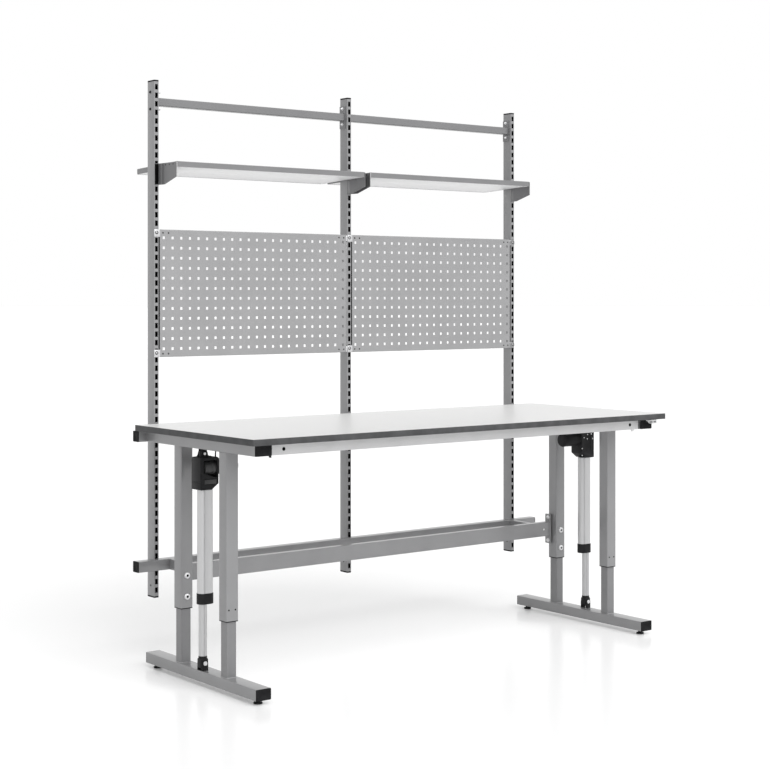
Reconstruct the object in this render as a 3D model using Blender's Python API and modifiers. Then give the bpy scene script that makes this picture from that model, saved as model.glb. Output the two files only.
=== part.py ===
"""Electric height-adjustable workbench with a slotted rear frame, tool panels and tilted shelves.

Metres, +Z up. +Y points to the back of the bench and +X to the right of a person who stands at it.
The bench stands on its levelling glides at Z = 0, in the middle of its lifting travel. Two foot
frames carry square inner legs that telescope into the outer legs of the upper frame, and a spindle
actuator beside each pair of legs lifts it.
"""

import math

import bmesh
import bpy
from mathutils import Euler, Matrix, Vector

# Common clearances and small values
GAP = 0.0003
CUT_OVERRUN = 0.002
ARC_STEPS = 3
ROUND_SIDES = 16
ROD_SIDES = 20
PIN_SIDES = 12
HOLE_SIDES = 8
HEX_SIDES = 6
SHARP_ANGLE = math.radians(35.0)
POINT_WEIGHT = 1.0

# Worktop
TOP_LENGTH = 2.000
TOP_DEPTH = 0.800
TOP_THICKNESS = 0.022
TOP_HEIGHT = 0.900
EDGE_BAND = 0.002
TOP_CORNER = 0.004

# Leg line
LEG_INSET = 0.069
FRONT_LEG_Y = -0.1386
REAR_LEG_Y = 0.1659

# Side beams under the worktop, front to back
SIDE_BEAM_WIDTH = 0.065
SIDE_BEAM_HEIGHT = 0.040
SIDE_BEAM_INSET = 0.046
BEAM_WALL = 0.0025
BEAM_CORNER = 0.003

# Front rail between the side beams
FRONT_RAIL_HEIGHT = 0.040
FRONT_RAIL_DEPTH = 0.025
FRONT_RAIL_INSET = 0.050
FRONT_RAIL_END_GAP = 0.006
FRONT_RAIL_WALL = 0.002
FRONT_RAIL_CORNER = 0.003
FRONT_RAIL_HOLE = 0.009
FRONT_RAIL_HOLE_INSET = 0.0485
FRONT_RAIL_FITTING = 0.035

# Telescoping legs
OUTER_LEG = 0.050
OUTER_LEG_WALL = 0.0025
OUTER_LEG_CORNER = 0.005
OUTER_LEG_BOTTOM = 0.250
INNER_LEG = 0.040
INNER_LEG_WALL = 0.0025
INNER_LEG_CORNER = 0.004
INNER_LEG_TOP = 0.600
BUSH_LIP = 0.0025
BUSH_LENGTH = 0.030
BUSH_CLEARANCE = 0.0003

# Guide screws on the front faces of the rear legs
GUIDE_SCREW_HEAD = 0.023
GUIDE_SCREW_HEIGHT = 0.006
GUIDE_SCREW_SOCKET = 0.009
GUIDE_SCREW_UPPER = 0.370
GUIDE_SCREW_LOWER = 0.294

# Feet
FOOT_LENGTH = 0.738
FOOT_MIDDLE_Y = 0.013
FOOT_WIDTH = 0.060
FOOT_HEIGHT = 0.039
FOOT_WALL = 0.0025
FOOT_CORNER = 0.003

# Levelling glides
GLIDE_HEIGHT = 0.0165
GLIDE_DIAMETER = 0.031
GLIDE_NECK = 0.017
GLIDE_RIM = 0.006
GLIDE_INSET = 0.0325
GLIDE_STEM = 0.010
GLIDE_STEM_LENGTH = 0.030
STEM_CLEARANCE = 0.0003

# Plastic plugs in the tube ends
PLUG_HEAD = 0.003
PLUG_DEPTH = 0.015
PLUG_CLEARANCE = 0.0003

# Crossbeam between the rear legs
CROSSBEAM_HEIGHT = 0.060
CROSSBEAM_DEPTH = 0.030
CROSSBEAM_Z = 0.375
CROSSBEAM_BACK = 0.018
CROSSBEAM_WALL = 0.002
CROSSBEAM_CORNER = 0.003
CROSSBEAM_PLATE = 0.0055
CROSSBEAM_PLATE_HEIGHT = 0.126
CROSSBEAM_BOLT_RISE = 0.049
CROSSBEAM_BOLT_BACK = 0.010
CROSSBEAM_HOLE = 0.009
CROSSBEAM_HOLE_INSET = 0.042
BOLT_HEAD = 0.014
BOLT_HEAD_HEIGHT = 0.005

# Rear rails and the arms to the lower one
REAR_RAIL = 0.040
REAR_RAIL_WALL = 0.002
REAR_RAIL_CORNER = 0.003
REAR_RAIL_SETBACK = 0.026
LOWER_RAIL_Z = 0.374
ARM_WIDTH = 0.020
ARM_INSET = 0.073

# Slotted uprights
UPRIGHT_INSET = 0.100
UPRIGHT_WIDTH = 0.020
UPRIGHT_DEPTH = 0.050
UPRIGHT_WALL = 0.0018
UPRIGHT_CORNER = 0.002
UPRIGHT_TOP = 2.189
UPRIGHT_BOTTOM = 0.246
SLOT_PITCH = 0.032
SLOT_WIDTH = 0.0088
SLOT_HEIGHT = 0.0186
SLOT_TOP_MARGIN = 0.0165
SLOT_BOTTOM_MARGIN = 0.012
LOWER_BOLT_DROP = 0.0033
CROSS_HOLE = 0.007
CROSS_HOLE_RISE = 0.0445
UPRIGHT_BOLT_HOLE = 0.0085

# Top rails between the uprights
TOP_RAIL_HEIGHT = 0.030
TOP_RAIL_DEPTH = 0.030
TOP_RAIL_WALL = 0.0015
TOP_RAIL_CORNER = 0.002
TOP_RAIL_DROP = 0.080
TOP_RAIL_SETBACK = 0.0155
TOP_RAIL_PLATE = 0.003
TOP_RAIL_PLATE_HEIGHT = 0.091
TOP_RAIL_PLATE_DEPTH = 0.036
TOP_RAIL_PLATE_SETBACK = 0.0125
TOP_RAIL_VENT = 0.014

# Tool panels
PANEL_END_GAP = 0.015
PANEL_HEIGHT = 0.480
PANEL_BOTTOM = 1.148
PANEL_FOLD = 0.018
PANEL_SHEET = 0.0015
CLIP_HEIGHT = 0.028
CLIP_SHEET = 0.0015
CLIP_TONGUE_DEPTH = 0.010
CLIP_SCREW = 0.009
CLIP_SCREW_HEIGHT = 0.002
CLIP_SCREW_SOCKET = 0.004
CLIP_SCREW_RISE = 0.002

# Shelves and their brackets
SHELF_DEPTH = 0.300
SHELF_LIP = 0.021
SHELF_SHEET = 0.0012
SHELF_TILT = math.radians(2.2)
SHELF_REACH = 0.1246
SHELF_RISE = 0.002
SHELF_END_GAP = 0.014
BRACKET_SHEET = 0.002
BRACKET_HEIGHT = 0.080
BRACKET_NOSE_HEIGHT = 0.056
BRACKET_FLAT = 0.040
BRACKET_JOG = 0.022
BRACKET_OUTER_FLANGE = 0.018
BRACKET_INNER_FLANGE = 0.0095
BRACKET_SLOT = 10
BRACKET_TOP_RISE = 0.0323
HOOK_HEIGHT = 0.014
HOOK_REACH = 0.006

# Lifting actuators
ACTUATOR_Y = 0.006
TUBE_WIDTH = 0.058
TUBE_DEPTH = 0.038
TUBE_CORNER = 0.0185
TUBE_WALL = 0.003
TUBE_LENGTH = 0.3655
TUBE_OUTSET = 0.007
TUBE_ARC_STEPS = 5
COLLAR_GROWTH = 0.004
COLLAR_HEIGHT = 0.038
ROD_DIAMETER = 0.0295
ROD_WALL = 0.003
ROD_OUTSET = 0.016
ROD_OVERLAP = 0.172
ROD_CLEARANCE = 0.0005
SPINDLE_DIAMETER = 0.012
SPINDLE_BOTTOM = 0.287
NUT_HEIGHT = 0.030
NUT_CLEARANCE = 0.0004
HEAD_WIDTH = 0.075
HEAD_DEPTH = 0.060
HEAD_SETBACK = 0.005
HEAD_HEIGHT = 0.115
HEAD_CORNER = 0.006
HEAD_OUTSET = 0.0035
HEAD_CHAMFER_WIDTH = 0.028
HEAD_CHAMFER_HEIGHT = 0.021
MOTOR_DIAMETER = 0.056
MOTOR_LENGTH = 0.094
MOTOR_NOSE = 0.010
MOTOR_DROP = 0.0367
MOTOR_SEAT = 0.012
SPINDLE_SEAT = 0.016
LUG_WIDTH = 0.028
LUG_DEPTH = 0.012
PIN_DIAMETER = 0.010
PIN_HEAD = 0.017
PIN_HEAD_HEIGHT = 0.003
PIN_CLEARANCE = 0.0003
PIN_DROP = 0.0165
EAR_SHEET = 0.003
EAR_WIDTH = 0.030
WELD_DEPTH = 0.001
EAR_END = 0.009
HEAD_DROP = 0.029

# Rod ends on the feet
ROD_EYE_WIDTH = 0.036
ROD_EYE_DEPTH = 0.026
ROD_EYE_HEIGHT = 0.036
ROD_EYE_CORNER = 0.005
ROD_EYE_RISE = 0.008
FOOT_PIN_RISE = 0.026

# Control box and handset
BOX_LENGTH = 0.260
BOX_DEPTH = 0.110
BOX_HEIGHT = 0.042
BOX_CORNER = 0.006
BOX_INSET = 0.500
BOX_Y = 0.020
HANDSET_WIDTH = 0.050
HANDSET_DEPTH = 0.036
HANDSET_HEIGHT = 0.017
HANDSET_CORNER = 0.006
HANDSET_INSET = 0.072
HANDSET_FRONT_INSET = 0.003
BUTTON_WIDTH = 0.014
BUTTON_HEIGHT = 0.007
BUTTON_DEPTH = 0.006
BUTTON_PROUD = 0.002
BUTTON_SPACING = 0.020
BUTTON_CLEARANCE = 0.0003
LEAD_DIAMETER = 0.005
LEAD_EXIT_INSET = 0.005
LEAD_EXIT_FORWARD = 0.012
LEAD_RISE = 0.018
LEAD_BEND = 0.009
LEAD_CLEARANCE = 0.012
LEAD_SAG = 0.008

# Places worked out from the sizes above
UNDER_TOP = TOP_HEIGHT - TOP_THICKNESS
LEG_X = TOP_LENGTH / 2 - LEG_INSET
SIDE_BEAM_BOTTOM = UNDER_TOP - GAP - SIDE_BEAM_HEIGHT
FOOT_TOP = GLIDE_HEIGHT + FOOT_HEIGHT
FOOT_FRONT = FOOT_MIDDLE_Y - FOOT_LENGTH / 2
FOOT_BACK = FOOT_MIDDLE_Y + FOOT_LENGTH / 2
REAR_RAIL_FRONT = TOP_DEPTH / 2 - REAR_RAIL_SETBACK
REAR_RAIL_BACK = REAR_RAIL_FRONT + REAR_RAIL
UPRIGHT_FRONT = REAR_RAIL_BACK + GAP
BOX_X = -TOP_LENGTH / 2 + BOX_INSET
HANDSET_X = TOP_LENGTH / 2 - HANDSET_INSET
UPRIGHT_Y = UPRIGHT_FRONT + UPRIGHT_DEPTH / 2
UPRIGHT_SPACING = TOP_LENGTH / 2 - UPRIGHT_INSET
UPRIGHT_XS = (-UPRIGHT_SPACING, 0.0, UPRIGHT_SPACING)
PANEL_WIDTH = UPRIGHT_SPACING - 2 * PANEL_END_GAP
UPPER_RAIL_Z = UNDER_TOP - GAP - REAR_RAIL / 2
LOWER_BOLT_Z = LOWER_RAIL_Z - LOWER_BOLT_DROP
UPPER_BOLT_Z = LOWER_BOLT_Z + round((UPPER_RAIL_Z - LOWER_BOLT_Z) / SLOT_PITCH) * SLOT_PITCH
SLOT_REACH = UPRIGHT_TOP - SLOT_TOP_MARGIN - SLOT_HEIGHT / 2 - LOWER_BOLT_Z
FIRST_SLOT_Z = LOWER_BOLT_Z + int(SLOT_REACH / SLOT_PITCH) * SLOT_PITCH
SLOT_SPACE = FIRST_SLOT_Z - SLOT_HEIGHT / 2 - UPRIGHT_BOTTOM - SLOT_BOTTOM_MARGIN
SLOT_COUNT = int(SLOT_SPACE / SLOT_PITCH) + 1
BRACKET_TOP = FIRST_SLOT_Z - BRACKET_SLOT * SLOT_PITCH + BRACKET_TOP_RISE
SHELF_FRONT_Y = UPRIGHT_FRONT - SHELF_REACH
BENCH_FRONT = -TOP_DEPTH / 2
BENCH_BACK = SHELF_FRONT_Y + SHELF_DEPTH * math.cos(SHELF_TILT)
CROSSBEAM_Y = REAR_LEG_Y + CROSSBEAM_BACK
CROSSBEAM_REAR = CROSSBEAM_Y + CROSSBEAM_DEPTH / 2
PLATE_X = LEG_X - OUTER_LEG / 2 - GAP
PLATE_FRONT = REAR_LEG_Y - OUTER_LEG / 2
TOP_RAIL_Z = UPRIGHT_TOP - TOP_RAIL_DROP
TOP_PIN_Z = SIDE_BEAM_BOTTOM - PIN_DROP
HEAD_TOP = SIDE_BEAM_BOTTOM - HEAD_DROP
HEAD_BOTTOM = HEAD_TOP - HEAD_HEIGHT
TUBE_BOTTOM = HEAD_BOTTOM - GAP - TUBE_LENGTH
ROD_EYE_BOTTOM = FOOT_TOP + ROD_EYE_RISE
ROD_EYE_TOP = ROD_EYE_BOTTOM + ROD_EYE_HEIGHT
ROD_TOP = TUBE_BOTTOM + ROD_OVERLAP

# Turns that lay a piece's own Z axis along the named axis of the bench
TURN = {
    "X": Euler((math.pi / 2, 0.0, math.pi / 2)),
    "-X": Euler((math.pi / 2, 0.0, -math.pi / 2)),
    "Y": Euler((-math.pi / 2, 0.0, 0.0)),
    "-Y": Euler((math.pi / 2, 0.0, 0.0)),
    "Z": Euler((0.0, 0.0, 0.0)),
    "-Z": Euler((math.pi, 0.0, 0.0)),
}

# Stands a flat outline up, so that its Y becomes height and its own Z runs forward
UPRIGHT_PAGE = Matrix.Rotation(math.pi / 2, 4, "X")


def clear_scene():
    for old in list(bpy.data.objects):
        bpy.data.objects.remove(old, do_unlink=True)


def new_collection(name):
    collection = bpy.data.collections.new(name)
    bpy.context.scene.collection.children.link(collection)
    return collection


clear_scene()
WORKBENCH = new_collection("workbench")
CUTTERS = new_collection("cutters")


def material(name, colour, roughness, metallic=0.0):
    made = bpy.data.materials.new(name)
    made.use_nodes = True
    shader = made.node_tree.nodes["Principled BSDF"]
    shader.inputs["Base Color"].default_value = (*colour, 1.0)
    shader.inputs["Roughness"].default_value = roughness
    shader.inputs["Metallic"].default_value = metallic
    made.diffuse_color = (*colour, 1.0)
    return made


GREY_PAINT = material("grey_paint", (0.28, 0.28, 0.28), 0.45, 0.3)
LIGHT_PAINT = material("light_grey_paint", (0.47, 0.47, 0.47), 0.45, 0.2)
LAMINATE = material("laminate", (0.76, 0.76, 0.76), 0.35)
DARK_EDGE = material("dark_edge_band", (0.09, 0.09, 0.09), 0.5)
BLACK_PLASTIC = material("black_plastic", (0.02, 0.02, 0.02), 0.45)
ALUMINIUM = material("anodised_aluminium", (0.62, 0.62, 0.62), 0.35, 0.9)
ZINC = material("zinc_plated_steel", (0.70, 0.70, 0.71), 0.3, 1.0)
STEEL = material("bright_steel", (0.55, 0.55, 0.56), 0.3, 1.0)


def empty(name, parent=None, location=(0.0, 0.0, 0.0)):
    made = bpy.data.objects.new(name, None)
    made.parent = parent
    made.location = location
    WORKBENCH.objects.link(made)
    return made


BENCH = empty("bench", location=(0.0, -(BENCH_FRONT + BENCH_BACK) / 2, 0.0))
LEFT_FOOT = empty("left_foot_origin", BENCH, (-LEG_X, 0.0, 0.0))
RIGHT_FOOT = empty("right_foot_origin", BENCH, (LEG_X, 0.0, 0.0))
UPPER = empty("upper_frame_origin", BENCH)


def add_object(name, mesh, finish, parent, location=(0.0, 0.0, 0.0), axis="Z"):
    made = bpy.data.objects.new(name, mesh)
    if not mesh.materials:
        mesh.materials.append(finish)
    mesh.shade_smooth()
    mesh.set_sharp_from_angle(angle=SHARP_ANGLE)
    made.parent = parent
    made.location = location
    made.rotation_euler = TURN[axis]
    WORKBENCH.objects.link(made)
    return made


def add_cutter(name, mesh, parent):
    made = bpy.data.objects.new(name, mesh)
    made.parent = parent
    made.hide_render = True
    made.display_type = "WIRE"
    CUTTERS.objects.link(made)
    return made


def finish_mesh(name, bm):
    bmesh.ops.recalc_face_normals(bm, faces=bm.faces)
    mesh = bpy.data.meshes.new(name)
    bm.to_mesh(mesh)
    bm.free()
    return mesh


def rounded_outline(width, depth, radius, steps=ARC_STEPS):
    """The corner points of a rounded rectangle, anticlockwise about the middle."""
    points = []
    for corner, (side_x, side_y) in enumerate(((1, 1), (-1, 1), (-1, -1), (1, -1))):
        centre = Vector((side_x * (width / 2 - radius), side_y * (depth / 2 - radius)))
        for step in range(steps + 1):
            angle = math.pi / 2 * (corner + step / steps)
            points.append(centre + radius * Vector((math.cos(angle), math.sin(angle))))
    return points


def only_verts(geometry):
    return [item for item in geometry if isinstance(item, bmesh.types.BMVert)]


def only_faces(geometry):
    return [item for item in geometry if isinstance(item, bmesh.types.BMFace)]


def shell_mesh(name, outline, length):
    """An open tube surface round the outline, centred on the middle of its length."""
    bm = bmesh.new()
    verts = [bm.verts.new((point.x, point.y, -length / 2)) for point in outline]
    edges = [bm.edges.new((verts[index - 1], verts[index])) for index in range(len(verts))]
    drawn = bmesh.ops.extrude_edge_only(bm, edges=edges)
    bmesh.ops.translate(bm, verts=only_verts(drawn["geom"]), vec=(0.0, 0.0, length))
    return finish_mesh(name, bm)


def prism(bm, outline, low, high, matrix=None):
    """A closed prism of the outline between two heights, added to bm."""
    face = bm.faces.new([bm.verts.new((point.x, point.y, low)) for point in outline])
    drawn = bmesh.ops.extrude_face_region(bm, geom=[face], use_keep_orig=True)
    tops = only_verts(drawn["geom"])
    bmesh.ops.translate(bm, verts=tops, vec=(0.0, 0.0, high - low))
    if matrix is not None:
        bmesh.ops.transform(bm, matrix=matrix, verts=tops + list(face.verts))


def box(bm, size, centre):
    made = bmesh.ops.create_cube(bm, size=1.0)
    bmesh.ops.scale(bm, vec=size, verts=made["verts"])
    bmesh.ops.translate(bm, vec=centre, verts=made["verts"])
    return made["verts"]


def solidify(made, thickness, offset=-1.0):
    wall = made.modifiers.new("wall", "SOLIDIFY")
    wall.thickness = thickness
    wall.offset = offset
    wall.use_even_offset = True
    wall.use_quality_normals = True
    return made


def boolean(made, other, operation="DIFFERENCE"):
    step = made.modifiers.new(operation.lower(), "BOOLEAN")
    step.operation = operation
    step.object = other
    step.solver = "EXACT"
    return made


def tube(name, finish, parent, location, axis, size, length, wall, corner, steps=ARC_STEPS):
    """A drawn tube. Its size is X by Y along Z, X by Z along Y, and Y by Z along X."""
    outline = rounded_outline(size[0], size[1], corner, steps)
    mesh = shell_mesh(name, outline, length)
    return solidify(add_object(name, mesh, finish, parent, location, axis), wall)


def boxes_cutter(name, parent, boxes):
    bm = bmesh.new()
    for size, centre in boxes:
        box(bm, size, centre)
    return add_cutter(name, finish_mesh(name, bm), parent)


def holes_cutter(name, parent, holes, sides=HOLE_SIDES):
    """A cutter for round holes, each given as axis, middle, length and diameter."""
    bm = bmesh.new()
    for axis, centre, length, diameter in holes:
        matrix = Matrix.Translation(centre) @ TURN[axis].to_matrix().to_4x4()
        bmesh.ops.create_cone(
            bm,
            cap_ends=True,
            segments=sides,
            radius1=diameter / 2,
            radius2=diameter / 2,
            depth=length,
            matrix=matrix,
        )
    return add_cutter(name, finish_mesh(name, bm), parent)


def turned_mesh(name, profile, sides=ROUND_SIDES):
    """A turned solid. Its profile of radius and height runs from the top down the outer side."""
    bm = bmesh.new()
    verts = [bm.verts.new((radius, 0.0, height)) for radius, height in profile]
    for upper, lower in zip(verts, verts[1:]):
        bm.edges.new((upper, lower))
    outline = bpy.data.meshes.new(name)
    bm.to_mesh(outline)
    bm.free()
    pattern = bpy.data.objects.new(name, outline)
    CUTTERS.objects.link(pattern)
    turn = pattern.modifiers.new("turn", "SCREW")
    turn.steps = sides
    turn.render_steps = sides
    turn.use_merge_vertices = True
    turn.merge_threshold = 0.00001
    graph = bpy.context.evaluated_depsgraph_get()
    mesh = bpy.data.meshes.new_from_object(pattern.evaluated_get(graph))
    mesh.name = name
    bpy.data.objects.remove(pattern, do_unlink=True)
    return mesh


def placed(axis, location):
    return Matrix.Translation(location) @ TURN[axis].to_matrix().to_4x4()


def gathered_mesh(name, parts):
    """One mesh from several, each given with the matrix that places it."""
    bm = bmesh.new()
    for mesh, matrix in parts:
        copy = mesh.copy()
        copy.transform(matrix)
        bm.from_mesh(copy)
        bpy.data.meshes.remove(copy)
    return finish_mesh(name, bm)


def plug_mesh(name, size, inset, corner, depth=PLUG_DEPTH, steps=ARC_STEPS, insert_steps=1):
    """A tube plug with its head above zero and an insert below that is smaller by the inset."""
    inner_corner = max(corner - inset, corner / 4)
    bm = bmesh.new()
    prism(bm, rounded_outline(size[0], size[1], corner, steps), GAP, GAP + PLUG_HEAD)
    head_mesh = finish_mesh(name, bm)
    bm = bmesh.new()
    inner_size = (size[0] - 2 * inset, size[1] - 2 * inset)
    outline = rounded_outline(*inner_size, inner_corner, insert_steps)
    prism(bm, outline, -depth, GAP + PLUG_HEAD / 2)
    return joined_mesh(name, head_mesh, finish_mesh(name, bm))


def joined_mesh(name, first, second):
    """The union of two closed meshes as one mesh."""
    base = bpy.data.objects.new(name, first)
    other = bpy.data.objects.new(name, second)
    for helper in (base, other):
        CUTTERS.objects.link(helper)
    boolean(base, other, "UNION")
    graph = bpy.context.evaluated_depsgraph_get()
    mesh = bpy.data.meshes.new_from_object(base.evaluated_get(graph))
    mesh.name = name
    for helper in (base, other):
        bpy.data.objects.remove(helper, do_unlink=True)
    return mesh


def screw_mesh(name, head, height, socket, sunk, sides):
    """A socket screw's head, its foot sunk below zero into what it is screwed to."""
    profile = [
        (0.0, height / 2),
        (socket / 2, height / 2),
        (socket / 2, height),
        (head / 2, height),
        (head / 2, -sunk),
        (0.0, -sunk),
    ]
    return turned_mesh(name, profile, sides)


def hex_head_mesh(name, across, height, sunk):
    """A hexagon bolt head, its foot sunk below zero into the plate under it."""
    profile = [
        (0.0, height),
        (across / 2, height),
        (across / 2, -sunk),
        (0.0, -sunk),
    ]
    return turned_mesh(name, profile, HEX_SIDES)


def pin_mesh(name, span):
    """A headed pin that runs down from zero through two ears and what they hold."""
    length = span + 2 * EAR_SHEET + PIN_HEAD_HEIGHT
    profile = [
        (0.0, PIN_HEAD_HEIGHT),
        (PIN_HEAD / 2, PIN_HEAD_HEIGHT),
        (PIN_HEAD / 2, 0.0),
        (PIN_DIAMETER / 2, 0.0),
        (PIN_DIAMETER / 2, -length),
        (0.0, -length),
    ]
    return turned_mesh(name, profile, PIN_SIDES)


def worktop():
    bm = bmesh.new()
    inset = EDGE_BAND + GAP
    size = (TOP_LENGTH - 2 * inset, TOP_DEPTH - 2 * inset)
    prism(bm, rounded_outline(*size, TOP_CORNER - inset), -TOP_THICKNESS / 2, TOP_THICKNESS / 2)
    middle = (0.0, 0.0, TOP_HEIGHT - TOP_THICKNESS / 2)
    add_object("worktop", finish_mesh("worktop", bm), LAMINATE, UPPER, middle)
    size = (TOP_LENGTH, TOP_DEPTH)
    place = (UPPER, middle, "Z", size, TOP_THICKNESS, EDGE_BAND, TOP_CORNER)
    tube("worktop_edge_band", DARK_EDGE, *place)


def side_beams():
    """The beams' tubes, each with the two welded ears that carry its actuator."""
    front = -TOP_DEPTH / 2 + SIDE_BEAM_INSET
    back = REAR_RAIL_FRONT - GAP
    size = (SIDE_BEAM_WIDTH, SIDE_BEAM_HEIGHT)
    z = SIDE_BEAM_BOTTOM + SIDE_BEAM_HEIGHT / 2
    plug = plug_mesh("side_beam_plug", size, BEAM_WALL + PLUG_CLEARANCE, BEAM_CORNER)
    for name, side in (("left", -1), ("right", 1)):
        x = side * LEG_X
        place = (UPPER, (x, (front + back) / 2, z), "Y", size, back - front)
        beam = tube(f"{name}_side_beam", GREY_PAINT, *place, BEAM_WALL, BEAM_CORNER)
        pin = (x + side * ROD_OUTSET, ACTUATOR_Y, TOP_PIN_Z)
        weld_ears(beam, f"{name}_top_ears", UPPER, pin, SIDE_BEAM_BOTTOM, LUG_DEPTH)
        node = f"{name}_side_beam_plug"
        add_object(node, plug.copy(), BLACK_PLASTIC, UPPER, (x, front, z), "-Y")


def weld_ears(beam, name, parent, pin, surface_z, held):
    """Joins two ears to the beam, one on each side of the held depth, with a hole for the pin."""
    upwards = 1 if pin[2] > surface_z else -1
    start = surface_z - upwards * WELD_DEPTH
    end = pin[2] + upwards * EAR_END
    size = (EAR_WIDTH, EAR_SHEET, abs(end - start))
    offset = held / 2 + GAP + EAR_SHEET / 2
    middle_z = (start + end) / 2
    ears = [(size, (pin[0], pin[1] + sign * offset, middle_z)) for sign in (-1, 1)]
    boolean(beam, boxes_cutter(name, parent, ears), "UNION")
    reach = 2 * (offset + EAR_SHEET)
    holes = [("Y", pin, reach, pin_hole())]
    boolean(beam, holes_cutter(f"{name}_holes", parent, holes, PIN_SIDES))


def pin_hole():
    return PIN_DIAMETER + 2 * PIN_CLEARANCE


def front_rail():
    """The rail's tube with a welded end fitting that reaches each side beam."""
    beam_side = LEG_X - SIDE_BEAM_WIDTH / 2
    half = beam_side - FRONT_RAIL_END_GAP
    y = -TOP_DEPTH / 2 + FRONT_RAIL_INSET + FRONT_RAIL_DEPTH / 2
    z = UNDER_TOP - GAP - FRONT_RAIL_HEIGHT / 2
    size = (FRONT_RAIL_DEPTH, FRONT_RAIL_HEIGHT)
    middle = (0.0, y, z)
    rail = tube(
        "front_rail",
        LIGHT_PAINT,
        UPPER,
        middle,
        "X",
        size,
        2 * half,
        FRONT_RAIL_WALL,
        FRONT_RAIL_CORNER,
    )
    bm = bmesh.new()
    reach = beam_side - GAP
    low = reach - FRONT_RAIL_FITTING
    inner = (FRONT_RAIL_DEPTH - FRONT_RAIL_WALL, FRONT_RAIL_HEIGHT - FRONT_RAIL_WALL)
    for side in (-1, 1):
        box(bm, (FRONT_RAIL_FITTING, *inner), (side * (low + reach) / 2, y, z))
    fittings = add_cutter("front_rail_fittings", finish_mesh("front_rail_fittings", bm), UPPER)
    boolean(rail, fittings, "UNION")
    hole_x = half - FRONT_RAIL_HOLE_INSET
    front_y = y - FRONT_RAIL_DEPTH / 2
    depth = FRONT_RAIL_WALL + CUT_OVERRUN
    holes = [("Y", (side * hole_x, front_y, z), 2 * depth, FRONT_RAIL_HOLE) for side in (-1, 1)]
    boolean(rail, holes_cutter("front_rail_holes", UPPER, holes))


def outer_legs():
    """Outer legs, each with the plastic bush in its mouth that guides the inner leg."""
    top = SIDE_BEAM_BOTTOM - GAP
    low = OUTER_LEG_BOTTOM + GAP + PLUG_HEAD
    size = (OUTER_LEG, OUTER_LEG)
    wall = (OUTER_LEG_WALL, OUTER_LEG_CORNER)
    bush = plug_mesh("bush", size, OUTER_LEG_WALL / 2, OUTER_LEG_CORNER, BUSH_LENGTH)
    bore = INNER_LEG + 2 * BUSH_CLEARANCE
    bore_outline = rounded_outline(bore, bore, INNER_LEG_CORNER)
    screw = screw_mesh(
        "guide_screw",
        GUIDE_SCREW_HEAD,
        GUIDE_SCREW_HEIGHT,
        GUIDE_SCREW_SOCKET,
        OUTER_LEG_WALL / 2,
        PIN_SIDES,
    )
    for side_name, side in (("left", -1), ("right", 1)):
        for place_name, y in (("front", FRONT_LEG_Y), ("rear", REAR_LEG_Y)):
            name = f"{side_name}_{place_name}"
            x = side * LEG_X
            place = (UPPER, (x, y, (top + low) / 2), "Z", size, top - low)
            leg = tube(f"{name}_outer_leg", GREY_PAINT, *place, *wall)
            extras = [(bush, placed("-Z", (x, y, low)))]
            if place_name == "rear":
                extras += [
                    (screw, placed("-Y", (x, PLATE_FRONT, z)))
                    for z in (GUIDE_SCREW_UPPER, GUIDE_SCREW_LOWER)
                ]
            extras_name = f"{name}_bush"
            mesh = gathered_mesh(extras_name, extras)
            boolean(leg, add_cutter(extras_name, mesh, UPPER), "UNION")
            bm = bmesh.new()
            depth = low + BUSH_LENGTH + CUT_OVERRUN
            prism(bm, bore_outline, OUTER_LEG_BOTTOM - CUT_OVERRUN, depth)
            mesh = finish_mesh(f"{name}_bore", bm)
            bore_cutter = add_cutter(f"{name}_bore", mesh, UPPER)
            bore_cutter.location = (x, y, 0.0)
            boolean(leg, bore_cutter)


def crossbeam():
    """The beam's tube with its welded end plates, bolted to the rear outer legs."""
    inner = PLATE_X - CROSSBEAM_PLATE
    length = 2 * (inner + CROSSBEAM_PLATE / 2)
    size = (CROSSBEAM_DEPTH, CROSSBEAM_HEIGHT)
    middle = (0.0, CROSSBEAM_Y, CROSSBEAM_Z)
    place = (UPPER, middle, "X", size, length, CROSSBEAM_WALL, CROSSBEAM_CORNER)
    beam = tube("crossbeam", GREY_PAINT, *place)
    bm = bmesh.new()
    depth = CROSSBEAM_REAR - PLATE_FRONT
    plate_size = (CROSSBEAM_PLATE, depth, CROSSBEAM_PLATE_HEIGHT)
    for side in (-1, 1):
        x = side * (PLATE_X - CROSSBEAM_PLATE / 2)
        box(bm, plate_size, (x, PLATE_FRONT + depth / 2, CROSSBEAM_Z))
    plates = add_cutter("crossbeam_plates", finish_mesh("crossbeam_plates", bm), UPPER)
    boolean(beam, plates, "UNION")
    bolt = hex_head_mesh("plate_bolt", BOLT_HEAD, BOLT_HEAD_HEIGHT, CROSSBEAM_PLATE / 2)
    bolt_y = PLATE_FRONT + CROSSBEAM_BOLT_BACK
    bolts = [
        (bolt, placed(axis, (side * inner, bolt_y, CROSSBEAM_Z + level * CROSSBEAM_BOLT_RISE)))
        for axis, side in (("X", -1), ("-X", 1))
        for level in (-1, 1)
    ]
    heads = add_cutter("crossbeam_bolts", gathered_mesh("crossbeam_bolts", bolts), UPPER)
    boolean(beam, heads, "UNION")
    front = CROSSBEAM_Y - CROSSBEAM_DEPTH / 2
    reach = 2 * (CROSSBEAM_WALL + CUT_OVERRUN)
    hole_x = inner - CROSSBEAM_HOLE_INSET
    holes = [
        ("Y", (side * hole_x, front, CROSSBEAM_Z), reach, CROSSBEAM_HOLE) for side in (-1, 1)
    ]
    boolean(beam, holes_cutter("crossbeam_holes", UPPER, holes))


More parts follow.
